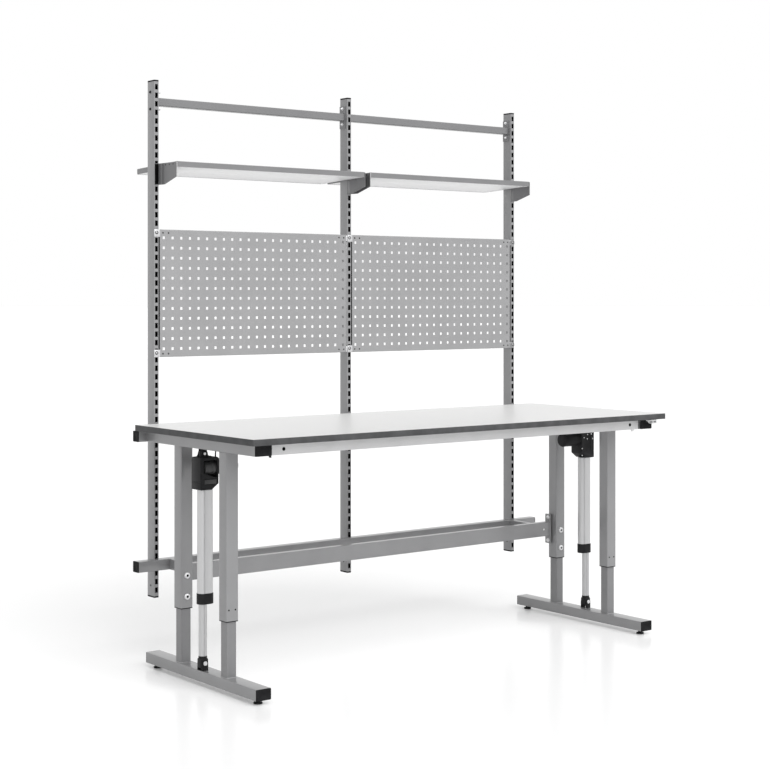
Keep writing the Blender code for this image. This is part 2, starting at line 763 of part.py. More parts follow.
def rail_arms():
    """Short tubes from the back of the crossbeam to the lower rear rail."""
    front = CROSSBEAM_REAR + GAP
    back = REAR_RAIL_FRONT - GAP
    size = (ARM_WIDTH, REAR_RAIL)
    for name, side in (("left", -1), ("right", 1)):
        middle = (side * (LEG_X - ARM_INSET), (front + back) / 2, LOWER_RAIL_Z)
        place = (UPPER, middle, "Y", size, back - front, REAR_RAIL_WALL, REAR_RAIL_CORNER)
        tube(f"{name}_rail_arm", GREY_PAINT, *place)


def rear_rails():
    """The rails that the uprights are bolted to, with a plug in each end."""
    y = (REAR_RAIL_FRONT + REAR_RAIL_BACK) / 2
    length = TOP_LENGTH - 2 * (PLUG_HEAD + GAP)
    size = (REAR_RAIL, REAR_RAIL)
    plug = plug_mesh("rear_rail_plug", size, REAR_RAIL_WALL / 2, REAR_RAIL_CORNER)
    rails = (
        ("upper_rear_rail", UPPER_RAIL_Z, UPPER_BOLT_Z),
        ("lower_rear_rail", LOWER_RAIL_Z, LOWER_BOLT_Z),
    )
    for name, z, bolt_z in rails:
        place = (UPPER, (0.0, y, z), "X", size, length, REAR_RAIL_WALL, REAR_RAIL_CORNER)
        rail = tube(name, GREY_PAINT, *place)
        ends = [
            (plug, placed("X", (length / 2, y, z))),
            (plug, placed("-X", (-length / 2, y, z))),
        ]
        plugs_name = f"{name}_plugs"
        plugs = add_cutter(plugs_name, gathered_mesh(plugs_name, ends), UPPER)
        boolean(rail, plugs, "UNION")
        reach = 2 * (REAR_RAIL_WALL + CUT_OVERRUN)
        holes = [
            ("Y", (x, REAR_RAIL_BACK, bolt_z), reach, UPRIGHT_BOLT_HOLE)
            for x in UPRIGHT_XS
        ]
        boolean(rail, holes_cutter(f"{name}_holes", UPPER, holes))


def slot_z(index):
    return FIRST_SLOT_Z - index * SLOT_PITCH


def slots_cutter(name, x):
    """One slot repeated down the front wall of an upright."""
    depth = 2 * (UPRIGHT_WALL + CUT_OVERRUN)
    size = (SLOT_WIDTH, depth, SLOT_HEIGHT)
    cutter = boxes_cutter(name, UPPER, [(size, (x, UPRIGHT_FRONT, FIRST_SLOT_Z))])
    pattern = cutter.modifiers.new("slots", "ARRAY")
    pattern.count = SLOT_COUNT
    pattern.use_relative_offset = False
    pattern.use_constant_offset = True
    pattern.constant_offset_displace = (0.0, 0.0, -SLOT_PITCH)
    return cutter


def uprights():
    """Slotted posts with a plug in each end, bolted to the rear rails through their slots."""
    low = UPRIGHT_BOTTOM + PLUG_HEAD + GAP
    high = UPRIGHT_TOP - PLUG_HEAD - GAP
    size = (UPRIGHT_WIDTH, UPRIGHT_DEPTH)
    rear_y = UPRIGHT_FRONT + UPRIGHT_DEPTH
    rear_reach = 2 * (UPRIGHT_WALL + CUT_OVERRUN)
    through = UPRIGHT_WIDTH + 2 * CUT_OVERRUN
    cross_z = UPRIGHT_BOTTOM + CROSS_HOLE_RISE
    plug = plug_mesh("upright_plug", size, UPRIGHT_WALL / 2, UPRIGHT_CORNER, steps=1)
    for name, x in zip(("left", "middle", "right"), UPRIGHT_XS):
        place = (UPPER, (x, UPRIGHT_Y, (low + high) / 2), "Z", size, high - low)
        upright = tube(f"{name}_upright", GREY_PAINT, *place, UPRIGHT_WALL, UPRIGHT_CORNER, 1)
        ends = [
            (plug, placed("Z", (x, UPRIGHT_Y, high))),
            (plug, placed("-Z", (x, UPRIGHT_Y, low))),
        ]
        plugs_name = f"{name}_upright_plugs"
        plugs = add_cutter(plugs_name, gathered_mesh(plugs_name, ends), UPPER)
        boolean(upright, plugs, "UNION")
        boolean(upright, slots_cutter(f"{name}_upright_slots", x))
        holes = [
            ("Y", (x, rear_y, bolt_z), rear_reach, UPRIGHT_BOLT_HOLE)
            for bolt_z in (UPPER_BOLT_Z, LOWER_BOLT_Z)
        ]
        holes.append(("X", (x, UPRIGHT_Y, cross_z), through, CROSS_HOLE))
        boolean(upright, holes_cutter(f"{name}_upright_holes", UPPER, holes))


def top_rails():
    """Each rail's tube with its welded end plates, between two uprights."""
    plate_x = UPRIGHT_SPACING / 2 - UPRIGHT_WIDTH / 2 - GAP
    y = UPRIGHT_FRONT + TOP_RAIL_SETBACK + TOP_RAIL_DEPTH / 2
    plate_y = UPRIGHT_FRONT + TOP_RAIL_PLATE_SETBACK + TOP_RAIL_PLATE_DEPTH / 2
    size = (TOP_RAIL_DEPTH, TOP_RAIL_HEIGHT)
    length = 2 * (plate_x - TOP_RAIL_PLATE / 2)
    plate_size = (TOP_RAIL_PLATE, TOP_RAIL_PLATE_DEPTH, TOP_RAIL_PLATE_HEIGHT)
    for name, x in (("left", -UPRIGHT_SPACING / 2), ("right", UPRIGHT_SPACING / 2)):
        place = (UPPER, (x, y, TOP_RAIL_Z), "X", size, length, TOP_RAIL_WALL, TOP_RAIL_CORNER)
        rail = tube(f"{name}_top_rail", GREY_PAINT, *place, 1)
        plates = [
            (plate_size, (x + side * (plate_x - TOP_RAIL_PLATE / 2), plate_y, TOP_RAIL_Z))
            for side in (-1, 1)
        ]
        boolean(rail, boxes_cutter(f"{name}_top_rail_plates", UPPER, plates), "UNION")
        reach = 2 * (2 * TOP_RAIL_PLATE + CUT_OVERRUN)
        vents = [
            ("X", (x + side * plate_x, y, TOP_RAIL_Z), reach, TOP_RAIL_VENT) for side in (-1, 1)
        ]
        boolean(rail, holes_cutter(f"{name}_top_rail_vents", UPPER, vents))


def panels():
    """Folded sheet trays between the uprights, their faces level with the slotted faces."""
    middle_y = UPRIGHT_FRONT + PANEL_FOLD / 2
    middle_z = PANEL_BOTTOM + PANEL_HEIGHT / 2
    trays = (
        ("left", -UPRIGHT_SPACING / 2, (-1,)),
        ("right", UPRIGHT_SPACING / 2, (-1, 1)),
    )
    for name, x, clipped_sides in trays:
        bm = bmesh.new()
        box(bm, (PANEL_WIDTH, PANEL_FOLD, PANEL_HEIGHT), (0.0, 0.0, 0.0))
        rear = max(bm.faces, key=lambda face: face.calc_center_median().y)
        bmesh.ops.delete(bm, geom=[rear], context="FACES_ONLY")
        mesh = finish_mesh(f"{name}_tool_panel", bm)
        place = (x, middle_y, middle_z)
        panel = add_object(f"{name}_tool_panel", mesh, LIGHT_PAINT, UPPER, place)
        solidify(panel, PANEL_SHEET)
        corner_clips(panel, name, x, middle_z, clipped_sides)


def corner_clips(panel, name, x, middle_z, clipped_sides):
    """Joins a tongue to each corner of the panel, and a screwed plate on the clipped sides."""
    edge = PANEL_WIDTH / 2
    upright_side = (UPRIGHT_SPACING - UPRIGHT_WIDTH) / 2
    tongue_end = upright_side - GAP
    tongue_width = tongue_end - edge + PANEL_SHEET / 2
    plate_width = upright_side + UPRIGHT_WIDTH - edge
    plate_y = UPRIGHT_FRONT - GAP - CLIP_SHEET / 2
    tongue_size = (tongue_width, CLIP_TONGUE_DEPTH, CLIP_HEIGHT)
    tongue_y = plate_y + CLIP_TONGUE_DEPTH / 2
    rise = (PANEL_HEIGHT - CLIP_HEIGHT) / 2
    tongues = []
    plates = []
    screws = []
    screw = screw_mesh(
        "clip_screw",
        CLIP_SCREW,
        CLIP_SHEET / 2 + CLIP_SCREW_HEIGHT,
        CLIP_SCREW_SOCKET,
        0.0,
        HOLE_SIDES,
    )
    for side in (-1, 1):
        for level in (-1, 1):
            z = middle_z + level * rise
            at = x + side * (tongue_end - tongue_width / 2)
            tongues.append((tongue_size, (at, tongue_y, z)))
            if side in clipped_sides:
                at = x + side * (edge + plate_width / 2)
                plates.append(((plate_width, CLIP_SHEET, CLIP_HEIGHT), (at, plate_y, z)))
                at = (x + side * UPRIGHT_SPACING / 2, plate_y, z + CLIP_SCREW_RISE)
                screws.append((screw, placed("-Y", at)))
    boolean(panel, boxes_cutter(f"{name}_tongues", UPPER, tongues), "UNION")
    boolean(panel, boxes_cutter(f"{name}_plates", UPPER, plates), "UNION")
    heads = add_cutter(f"{name}_clip_screws", gathered_mesh("clip_screws", screws), UPPER)
    boolean(panel, heads, "UNION")


def shelves():
    """Sheet trays that open downwards and lean back from their front edge."""
    length = UPRIGHT_SPACING - 2 * SHELF_END_GAP
    for name, x in (("left", -UPRIGHT_SPACING / 2), ("right", UPRIGHT_SPACING / 2)):
        bm = bmesh.new()
        box(bm, (length, SHELF_DEPTH, SHELF_LIP), (0.0, SHELF_DEPTH / 2, -SHELF_LIP / 2))
        under = min(bm.faces, key=lambda face: face.calc_center_median().z)
        bmesh.ops.delete(bm, geom=[under], context="FACES_ONLY")
        mesh = finish_mesh(f"{name}_shelf", bm)
        front = (x, SHELF_FRONT_Y, BRACKET_TOP + SHELF_RISE)
        shelf = add_object(f"{name}_shelf", mesh, GREY_PAINT, UPPER, front)
        shelf.rotation_euler = (-SHELF_TILT, 0.0, 0.0)
        solidify(shelf, SHELF_SHEET)


def bracket_mesh(name, side, flange):
    """A folded bracket in the frame of the slotted face: side is 1 for a shelf to the right."""
    plate_x = SHELF_END_GAP - GAP - BRACKET_SHEET / 2
    lap_y = -GAP - BRACKET_SHEET / 2
    low = BRACKET_TOP - BRACKET_HEIGHT
    nose_low = BRACKET_TOP - BRACKET_NOSE_HEIGHT
    stations = (
        (UPRIGHT_WIDTH / 2 - flange, lap_y, low),
        (UPRIGHT_WIDTH / 2 - BRACKET_SHEET, lap_y, low),
        (plate_x, -BRACKET_JOG, low),
        (plate_x, -BRACKET_FLAT, low),
        (plate_x, -SHELF_REACH, nose_low),
    )
    bm = bmesh.new()
    columns = [
        (bm.verts.new((side * x, y, z)), bm.verts.new((side * x, y, BRACKET_TOP)))
        for x, y, z in stations
    ]
    for (low_a, high_a), (low_b, high_b) in zip(columns, columns[1:]):
        bm.faces.new((low_a, low_b, high_b, high_a))
    return finish_mesh(name, bm)


def hooks_mesh(name, side):
    """The bracket's hooks, which pass through the slots behind it."""
    bm = bmesh.new()
    depth = BRACKET_SHEET / 2 + HOOK_REACH
    x = side * (BRACKET_SHEET / 2 + 2 * GAP)
    y = -GAP - BRACKET_SHEET / 2 + depth / 2
    for index in (BRACKET_SLOT, BRACKET_SLOT + 1):
        box(bm, (BRACKET_SHEET, depth, HOOK_HEIGHT), (x, y, slot_z(index)))
    return finish_mesh(name, bm)


def brackets():
    """A bracket at each end of each shelf, hooked into the slots of its upright."""
    ends = (
        ("left_shelf_outer_bracket", -UPRIGHT_SPACING, 1, BRACKET_OUTER_FLANGE),
        ("left_shelf_inner_bracket", 0.0, -1, BRACKET_INNER_FLANGE),
        ("right_shelf_inner_bracket", 0.0, 1, BRACKET_INNER_FLANGE),
        ("right_shelf_outer_bracket", UPRIGHT_SPACING, -1, BRACKET_OUTER_FLANGE),
    )
    for name, x, side, flange in ends:
        place = (x, UPRIGHT_FRONT, 0.0)
        bracket = add_object(name, bracket_mesh(name, side, flange), GREY_PAINT, UPPER, place)
        solidify(bracket, BRACKET_SHEET, 0.0)
        hooks = add_cutter(f"{name}_hooks", hooks_mesh(f"{name}_hooks", side), UPPER)
        hooks.location = place
        boolean(bracket, hooks, "UNION")


def actuator_heads():
    """Gear housings with their motor cans, hung from the side beams by a lug and a pin."""
    motor = motor_mesh()
    pin = pin_mesh("top_pin", LUG_DEPTH + 2 * GAP)
    pin_front = ACTUATOR_Y - LUG_DEPTH / 2 - EAR_SHEET - 2 * GAP
    outline = rounded_outline(HEAD_WIDTH, HEAD_DEPTH, HEAD_CORNER)
    lug_outline = rounded_outline(LUG_WIDTH, LUG_DEPTH, LUG_DEPTH / 4)
    lug_top = TOP_PIN_Z - HEAD_BOTTOM + EAR_END
    head_y = ACTUATOR_Y + HEAD_SETBACK
    bore = SPINDLE_DIAMETER + 2 * ROD_CLEARANCE
    for name, side in (("left", -1), ("right", 1)):
        x = side * (LEG_X + HEAD_OUTSET)
        rod_x = side * (LEG_X + ROD_OUTSET)
        inner = x - side * HEAD_WIDTH / 2
        node = f"{name}_actuator_head"
        bm = bmesh.new()
        prism(bm, outline, 0.0, HEAD_HEIGHT)
        mesh = finish_mesh(node, bm)
        head = add_object(node, mesh, BLACK_PLASTIC, UPPER, (x, head_y, HEAD_BOTTOM))
        bm = bmesh.new()
        lug_place = placed("Z", (rod_x, ACTUATOR_Y, HEAD_BOTTOM))
        prism(bm, lug_outline, HEAD_HEIGHT / 2, lug_top, lug_place)
        lug = add_cutter(f"{name}_lug", finish_mesh(f"{name}_lug", bm), UPPER)
        boolean(head, lug, "UNION")
        axis = "X" if side < 0 else "-X"
        start = (inner + side * MOTOR_SEAT, head_y, HEAD_TOP - MOTOR_DROP)
        mesh = gathered_mesh("motor", [(motor, placed(axis, start))])
        can = add_cutter(f"{name}_motor", mesh, UPPER)
        boolean(head, can, "UNION")
        place = placed("-Y", (rod_x, pin_front, TOP_PIN_Z))
        shaft = add_cutter(f"{name}_pin", gathered_mesh("top_pin", [(pin, place)]), UPPER)
        boolean(head, shaft, "UNION")
        boolean(head, chamfer_cutter(f"{name}_chamfer", side, inner, head_y))
        holes = [("Z", (rod_x, ACTUATOR_Y, HEAD_BOTTOM), 2 * SPINDLE_SEAT, bore)]
        boolean(head, holes_cutter(f"{name}_spindle_bore", UPPER, holes, PIN_SIDES))


def chamfer_cutter(name, side, inner, head_y):
    """A wedge that takes off the housing's lower inner corner."""
    overrun = CUT_OVERRUN
    slope = HEAD_CHAMFER_HEIGHT / HEAD_CHAMFER_WIDTH
    corners = (
        (-overrun, -overrun),
        (HEAD_CHAMFER_WIDTH + overrun / slope, -overrun),
        (-overrun, HEAD_CHAMFER_HEIGHT + overrun * slope),
    )
    outline = [Vector((inner + side * x, HEAD_BOTTOM + z)) for x, z in corners]
    half = HEAD_DEPTH / 2 + overrun
    bm = bmesh.new()
    prism(bm, outline, -half, half, Matrix.Translation((0.0, head_y, 0.0)) @ UPRIGHT_PAGE)
    return add_cutter(name, finish_mesh(name, bm), UPPER)


def motor_mesh():
    """A motor can with a domed end, its length along Z from zero."""
    radius = MOTOR_DIAMETER / 2
    length = MOTOR_LENGTH + MOTOR_SEAT
    profile = [(0.0, length), (radius - MOTOR_NOSE, length)]
    for step in range(1, ARC_STEPS + 1):
        angle = math.pi / 2 * step / ARC_STEPS
        out = radius - MOTOR_NOSE + MOTOR_NOSE * math.sin(angle)
        profile.append((out, length - MOTOR_NOSE + MOTOR_NOSE * math.cos(angle)))
    profile += [(radius, 0.0), (0.0, 0.0)]
    return turned_mesh("motor", profile)


def actuator_tubes():
    """The actuators' outer tubes, each with a black end collar that guides its rod."""
    size = (TUBE_WIDTH, TUBE_DEPTH)
    low = TUBE_BOTTOM
    bm = bmesh.new()
    width = TUBE_WIDTH + COLLAR_GROWTH
    depth = TUBE_DEPTH + COLLAR_GROWTH
    outline = rounded_outline(width, depth, TUBE_CORNER, TUBE_ARC_STEPS)
    prism(bm, outline, GAP, COLLAR_HEIGHT)
    ring = finish_mesh("collar", bm)
    bm = bmesh.new()
    inset = TUBE_WALL
    corner = TUBE_CORNER - inset / 2
    inner = rounded_outline(TUBE_WIDTH - inset, TUBE_DEPTH - inset, corner, TUBE_ARC_STEPS)
    prism(bm, inner, -PLUG_DEPTH, COLLAR_HEIGHT / 2)
    collar = joined_mesh("collar", ring, finish_mesh("collar", bm))
    reach = 2 * (COLLAR_HEIGHT + PLUG_DEPTH + CUT_OVERRUN)
    for name, side in (("left", -1), ("right", 1)):
        x = side * (LEG_X + TUBE_OUTSET)
        place = (UPPER, (x, ACTUATOR_Y, low + TUBE_LENGTH / 2), "Z", size, TUBE_LENGTH)
        node = f"{name}_actuator_tube"
        made = tube(node, ALUMINIUM, *place, TUBE_WALL, TUBE_CORNER, TUBE_ARC_STEPS)
        end = gathered_mesh("collar", [(collar, placed("-Z", (x, ACTUATOR_Y, low)))])
        boolean(made, add_cutter(f"{name}_collar", end, UPPER), "UNION")
        rod_x = side * (LEG_X + ROD_OUTSET)
        holes = [("Z", (rod_x, ACTUATOR_Y, low), reach, ROD_DIAMETER + 2 * ROD_CLEARANCE)]
        boolean(made, holes_cutter(f"{name}_collar_bore", UPPER, holes, ROD_SIDES))


def actuator_spindles():
    """Lifting spindles that stand in the heads and reach down inside the rods."""
    top = HEAD_BOTTOM + SPINDLE_SEAT - GAP
    profile = [
        (0.0, top),
        (SPINDLE_DIAMETER / 2, top),
        (SPINDLE_DIAMETER / 2, SPINDLE_BOTTOM),
        (0.0, SPINDLE_BOTTOM),
    ]
    for name, side in (("left", -1), ("right", 1)):
        node = f"{name}_spindle"
        place = (side * (LEG_X + ROD_OUTSET), ACTUATOR_Y, 0.0)
        add_object(node, turned_mesh(node, profile, PIN_SIDES), STEEL, UPPER, place)


def foot(name, side, origin):
    """One foot with its plugs, inner legs and the lower half of its actuator."""
    z = GLIDE_HEIGHT + FOOT_HEIGHT / 2
    size = (FOOT_WIDTH, FOOT_HEIGHT)
    place = (origin, (0.0, FOOT_MIDDLE_Y, z), "Y", size, FOOT_LENGTH, FOOT_WALL, FOOT_CORNER)
    beam = tube(f"{name}_foot_beam", GREY_PAINT, *place)
    pin = (side * ROD_OUTSET, ACTUATOR_Y, FOOT_TOP + FOOT_PIN_RISE)
    weld_ears(beam, f"{name}_foot_ears", origin, pin, FOOT_TOP, ROD_EYE_DEPTH)
    reach = 2 * (FOOT_WALL + CUT_OVERRUN)
    stem_hole = GLIDE_STEM + 2 * STEM_CLEARANCE
    holes = [
        ("Z", (0.0, y, GLIDE_HEIGHT), reach, stem_hole)
        for y in (FOOT_FRONT + GLIDE_INSET, FOOT_BACK - GLIDE_INSET)
    ]
    boolean(beam, holes_cutter(f"{name}_foot_holes", origin, holes, PIN_SIDES))
    plug = plug_mesh("foot_plug", size, FOOT_WALL + PLUG_CLEARANCE, FOOT_CORNER)
    ends = (("front", FOOT_FRONT, "-Y"), ("rear", FOOT_BACK, "Y"))
    for place_name, y, axis in ends:
        node = f"{name}_foot_{place_name}_plug"
        add_object(node, plug.copy(), BLACK_PLASTIC, origin, (0.0, y, z), axis)
    inner_legs(name, origin)
    rod_parts(name, pin, origin)


def inner_legs(name, origin):
    low = FOOT_TOP + GAP
    length = INNER_LEG_TOP - low
    size = (INNER_LEG, INNER_LEG)
    for place_name, y in (("front", FRONT_LEG_Y), ("rear", REAR_LEG_Y)):
        place = (origin, (0.0, y, low + length / 2), "Z", size, length)
        node = f"{name}_{place_name}_inner_leg"
        tube(node, GREY_PAINT, *place, INNER_LEG_WALL, INNER_LEG_CORNER)


def rod_parts(name, pin, origin):
    """The actuator's rod, with its spindle nut in the top, and the eye and pin under it."""
    x, y, pin_z = pin
    low = ROD_EYE_TOP + GAP
    bore = ROD_DIAMETER / 2 - ROD_WALL
    floor = low + ROD_WALL
    nut_bore = SPINDLE_DIAMETER / 2 + NUT_CLEARANCE
    profile = [
        (0.0, floor),
        (bore, floor),
        (bore, ROD_TOP - NUT_HEIGHT),
        (nut_bore, ROD_TOP - NUT_HEIGHT),
        (nut_bore, ROD_TOP),
        (ROD_DIAMETER / 2, ROD_TOP),
        (ROD_DIAMETER / 2, low),
        (0.0, low),
    ]
    node = f"{name}_rod"
    add_object(node, turned_mesh(node, profile, ROD_SIDES), ALUMINIUM, origin, (x, y, 0.0))
    bm = bmesh.new()
    outline = rounded_outline(ROD_EYE_WIDTH, ROD_EYE_HEIGHT, ROD_EYE_CORNER)
    eye_z = ROD_EYE_BOTTOM + ROD_EYE_HEIGHT / 2
    half = ROD_EYE_DEPTH / 2
    prism(bm, outline, -half, half, placed("Y", (x, y, eye_z)))
    node = f"{name}_rod_eye"
    eye = add_object(node, finish_mesh(node, bm), BLACK_PLASTIC, origin)
    holes = [("Y", pin, ROD_EYE_DEPTH + 2 * CUT_OVERRUN, pin_hole())]
    boolean(eye, holes_cutter(f"{name}_eye_hole", origin, holes, PIN_SIDES))
    front = y - half - EAR_SHEET - 2 * GAP
    node = f"{name}_foot_pin"
    shaft = pin_mesh(node, ROD_EYE_DEPTH + 2 * GAP)
    add_object(node, shaft, ZINC, origin, (x, front, pin_z), "-Y")


def glides():
    """Levelling glides, each on the axis that its stem turns and slides on."""
    radius = GLIDE_DIAMETER / 2
    top = GLIDE_HEIGHT - GAP
    stem = GLIDE_STEM / 2
    profile = [
        (0.0, top + GLIDE_STEM_LENGTH),
        (stem, top + GLIDE_STEM_LENGTH),
        (stem, top),
        (GLIDE_NECK / 2, top),
        (GLIDE_NECK / 2, GLIDE_RIM),
        (radius, GLIDE_RIM),
        (radius, 0.0),
        (0.0, 0.0),
    ]
    mesh = turned_mesh("glide", profile, PIN_SIDES)
    for name, origin in (("left", LEFT_FOOT), ("right", RIGHT_FOOT)):
        for place, y in (
            ("front", FOOT_FRONT + GLIDE_INSET),
            ("rear", FOOT_BACK - GLIDE_INSET),
        ):
            add_object(f"{name}_{place}_glide", mesh, BLACK_PLASTIC, origin, (0.0, y, 0.0))


def control_box():
    bm = bmesh.new()
    outline = rounded_outline(BOX_LENGTH, BOX_DEPTH, BOX_CORNER)
    prism(bm, outline, -BOX_HEIGHT, 0.0)
    place = (BOX_X, BOX_Y, UNDER_TOP - GAP)
    add_object("control_box", finish_mesh("control_box", bm), BLACK_PLASTIC, UPPER, place)


def motor_lead():
    """The left motor's lead, from the top of its head to the end of the control box."""
    start_x = -(LEG_X + HEAD_OUTSET) + HEAD_WIDTH / 2 - LEAD_EXIT_INSET
    beam_side = -LEG_X + SIDE_BEAM_WIDTH / 2
    box_side = BOX_X - BOX_LENGTH / 2 - GAP
    box_z = UNDER_TOP - GAP - BOX_HEIGHT / 2
    bottom = HEAD_TOP + GAP
    turn_z = bottom + LEAD_RISE
    beyond = beam_side + LEAD_CLEARANCE
    start_y = ACTUATOR_Y - LEAD_EXIT_FORWARD
    points = (
        (start_x, start_y, bottom),
        (start_x, start_y, turn_z),
        (start_x + LEAD_BEND, start_y, turn_z + LEAD_BEND / 2),
        (beyond, start_y, turn_z + 2 * LEAD_BEND),
        (beyond + 2 * LEAD_BEND, ACTUATOR_Y, box_z),
        ((beyond + box_side) / 2, (ACTUATOR_Y + BOX_Y) / 2, box_z - LEAD_SAG),
        (box_side, BOX_Y, box_z),
    )
    curve = bpy.data.curves.new("left_motor_lead", "CURVE")
    curve.dimensions = "3D"
    curve.bevel_depth = LEAD_DIAMETER / 2
    curve.bevel_resolution = 1
    curve.use_fill_caps = True
    line = curve.splines.new("POLY")
    line.points.add(len(points) - 1)
    for point, place in zip(line.points, points):
        point.co = (*place, POINT_WEIGHT)
    curve.materials.append(BLACK_PLASTIC)
    made = bpy.data.objects.new("left_motor_lead", curve)
    made.parent = UPPER
    WORKBENCH.objects.link(made)


def handset():
    """The handset under the worktop's front edge, with a key for each direction."""
    front = -TOP_DEPTH / 2 + HANDSET_FRONT_INSET
    y = front + HANDSET_DEPTH / 2
    z = UNDER_TOP - GAP - HANDSET_HEIGHT / 2
    bm = bmesh.new()
    outline = rounded_outline(HANDSET_WIDTH, HANDSET_DEPTH, HANDSET_CORNER)
    prism(bm, outline, -HANDSET_HEIGHT / 2, HANDSET_HEIGHT / 2)
    place = (HANDSET_X, y, z)
    body = add_object("handset", finish_mesh("handset", bm), ALUMINIUM, UPPER, place)
    pocket = (
        BUTTON_WIDTH + 2 * BUTTON_CLEARANCE,
        2 * BUTTON_DEPTH,
        BUTTON_HEIGHT + 2 * BUTTON_CLEARANCE,
    )
    xs = (HANDSET_X - BUTTON_SPACING / 2, HANDSET_X + BUTTON_SPACING / 2)
    pockets = boxes_cutter("button_pockets", UPPER, [(pocket, (x, front, z)) for x in xs])
    boolean(body, pockets)
    for name, x in zip(("down_button", "up_button"), xs):
        bm = bmesh.new()
        outline = rounded_outline(BUTTON_WIDTH, BUTTON_HEIGHT, BUTTON_HEIGHT / 4)
        prism(bm, outline, 0.0, BUTTON_DEPTH)
        place = (x, front - BUTTON_PROUD, z)
        add_object(name, finish_mesh(name, bm), BLACK_PLASTIC, UPPER, place, "Y")


worktop()
side_beams()
front_rail()
outer_legs()
crossbeam()
rail_arms()
rear_rails()
uprights()
top_rails()
panels()
shelves()
brackets()
actuator_heads()
actuator_tubes()
actuator_spindles()
foot("left", -1, LEFT_FOOT)
foot("right", 1, RIGHT_FOOT)
glides()
control_box()
motor_lead()
handset()
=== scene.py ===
"""Dressed model of an electric height-adjustable workbench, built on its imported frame."""

import math

import bmesh
import bpy
from mathutils import Matrix, Vector

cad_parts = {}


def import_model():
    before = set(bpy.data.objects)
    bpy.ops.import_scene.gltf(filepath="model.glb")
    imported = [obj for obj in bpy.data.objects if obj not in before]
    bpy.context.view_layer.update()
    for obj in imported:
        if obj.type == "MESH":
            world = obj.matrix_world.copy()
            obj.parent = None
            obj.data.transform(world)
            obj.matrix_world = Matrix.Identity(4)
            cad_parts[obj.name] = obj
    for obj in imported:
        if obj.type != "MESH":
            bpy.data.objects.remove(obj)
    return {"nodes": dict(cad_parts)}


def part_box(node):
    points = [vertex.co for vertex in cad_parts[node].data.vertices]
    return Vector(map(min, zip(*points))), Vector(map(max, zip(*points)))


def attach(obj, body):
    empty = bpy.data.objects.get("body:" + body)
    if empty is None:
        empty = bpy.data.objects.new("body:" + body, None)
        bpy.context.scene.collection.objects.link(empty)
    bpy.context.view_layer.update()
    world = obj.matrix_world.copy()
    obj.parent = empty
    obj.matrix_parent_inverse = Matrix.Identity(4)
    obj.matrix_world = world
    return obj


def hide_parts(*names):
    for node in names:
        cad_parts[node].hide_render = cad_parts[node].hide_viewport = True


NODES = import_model()["nodes"]
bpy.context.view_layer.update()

# Names and places that the whole script shares, in metres
FRAME = "upper_frame"
SIDES = (("left", -1), ("right", 1))
BAYS = (("left", -0.45), ("right", 0.45))
GAP = 0.0003
QUARTER = math.pi / 2


def given(made, **settings):
    """What was made, with its settings."""
    for setting, value in settings.items():
        setattr(made, setting, value)
    return made


# Materials
def shader_node(near, kind, inputs=None, **settings):
    """A shader node in the same tree, with its settings and the constants of its inputs."""
    made = given(near.id_data.nodes.new(f"ShaderNode{kind}"), **settings)
    for title, value in (inputs or {}).items():
        made.inputs[title].default_value = value
    return made


def link(source, made, socket):
    made.id_data.links.new(source, made.inputs[socket])


def new_material(name, colour, roughness, metallic=0.0, extra=None):
    """A material with its shader, which may be given more constants."""
    made = bpy.data.materials.new(name)
    made.use_nodes = True
    shader = made.node_tree.nodes["Principled BSDF"]
    values = {"Base Color": (*colour, 1.0), "Roughness": roughness, "Metallic": metallic}
    for title, value in {**values, **(extra or {})}.items():
        shader.inputs[title].default_value = value
    made.diffuse_color = (*colour, 1.0)
    return made, shader


def noise(near, scale, detail=2.0, stretch=(1.0, 1.0, 1.0), rough=0.5):
    """A noise texture in the object's own space, stretched along its axes."""
    coordinates = shader_node(near, "TexCoord")
    mapping = shader_node(near, "Mapping", {"Scale": stretch})
    values = {"Scale": scale, "Detail": detail, "Roughness": rough}
    texture = shader_node(near, "TexNoise", values)
    link(coordinates.outputs["Object"], mapping, "Vector")
    link(mapping.outputs["Vector"], texture, "Vector")
    return texture.outputs["Fac"]


def toned(near, source, span, colour, shares):
    """The colour from one of its shares to the other, between two values of the source."""
    made = shader_node(near, "ValToRGB")
    for at in (0, 1):
        tone = (*(channel * shares[at] for channel in colour), 1.0)
        given(made.color_ramp.elements[at], position=span[at], color=tone)
    link(source, made, "Fac")
    return made.outputs["Color"]


def add_bump(shader, source, strength, distance):
    bump = shader_node(shader, "Bump", {"Strength": strength, "Distance": distance})
    link(source, bump, "Height")
    link(bump.outputs["Normal"], shader, "Normal")


def spread_roughness(shader, source, low, high):
    spread = shader_node(shader, "MapRange", {"To Min": low, "To Max": high})
    link(source, spread, "Value")
    link(spread.outputs["Result"], shader, "Roughness")


def cool(value, blue=0.005):
    """A grey with a little more blue."""
    return (value, value, value + blue)


def paint(name, value, roughness=0.42, flake=0.25):
    """Powder-coated steel: a fine orange peel, a faint metallic grain and slight cloudiness."""
    colour = cool(value)
    coat = {"Specular IOR Level": 0.4, "Coat Weight": 0.5, "Coat Roughness": 0.16}
    made, shader = new_material(name, colour, roughness, flake, coat)
    cloudy = toned(shader, noise(shader, 7.0, 3.0), (0.3, 0.7), colour, (0.955, 1.04))
    speck = toned(shader, noise(shader, 1400.0, 1.0), (0.35, 0.65), (1.0, 1.0, 1.0), (0.88, 1.0))
    mix = shader_node(shader, "Mix", {"Factor": 0.5}, data_type="RGBA", blend_type="MULTIPLY")
    link(cloudy, mix, "A")
    link(speck, mix, "B")
    link(mix.outputs["Result"], shader, "Base Color")
    peel = noise(shader, 420.0)
    add_bump(shader, peel, 0.08, 0.0004)
    spread_roughness(shader, peel, roughness - 0.05, roughness + 0.06)
    return made


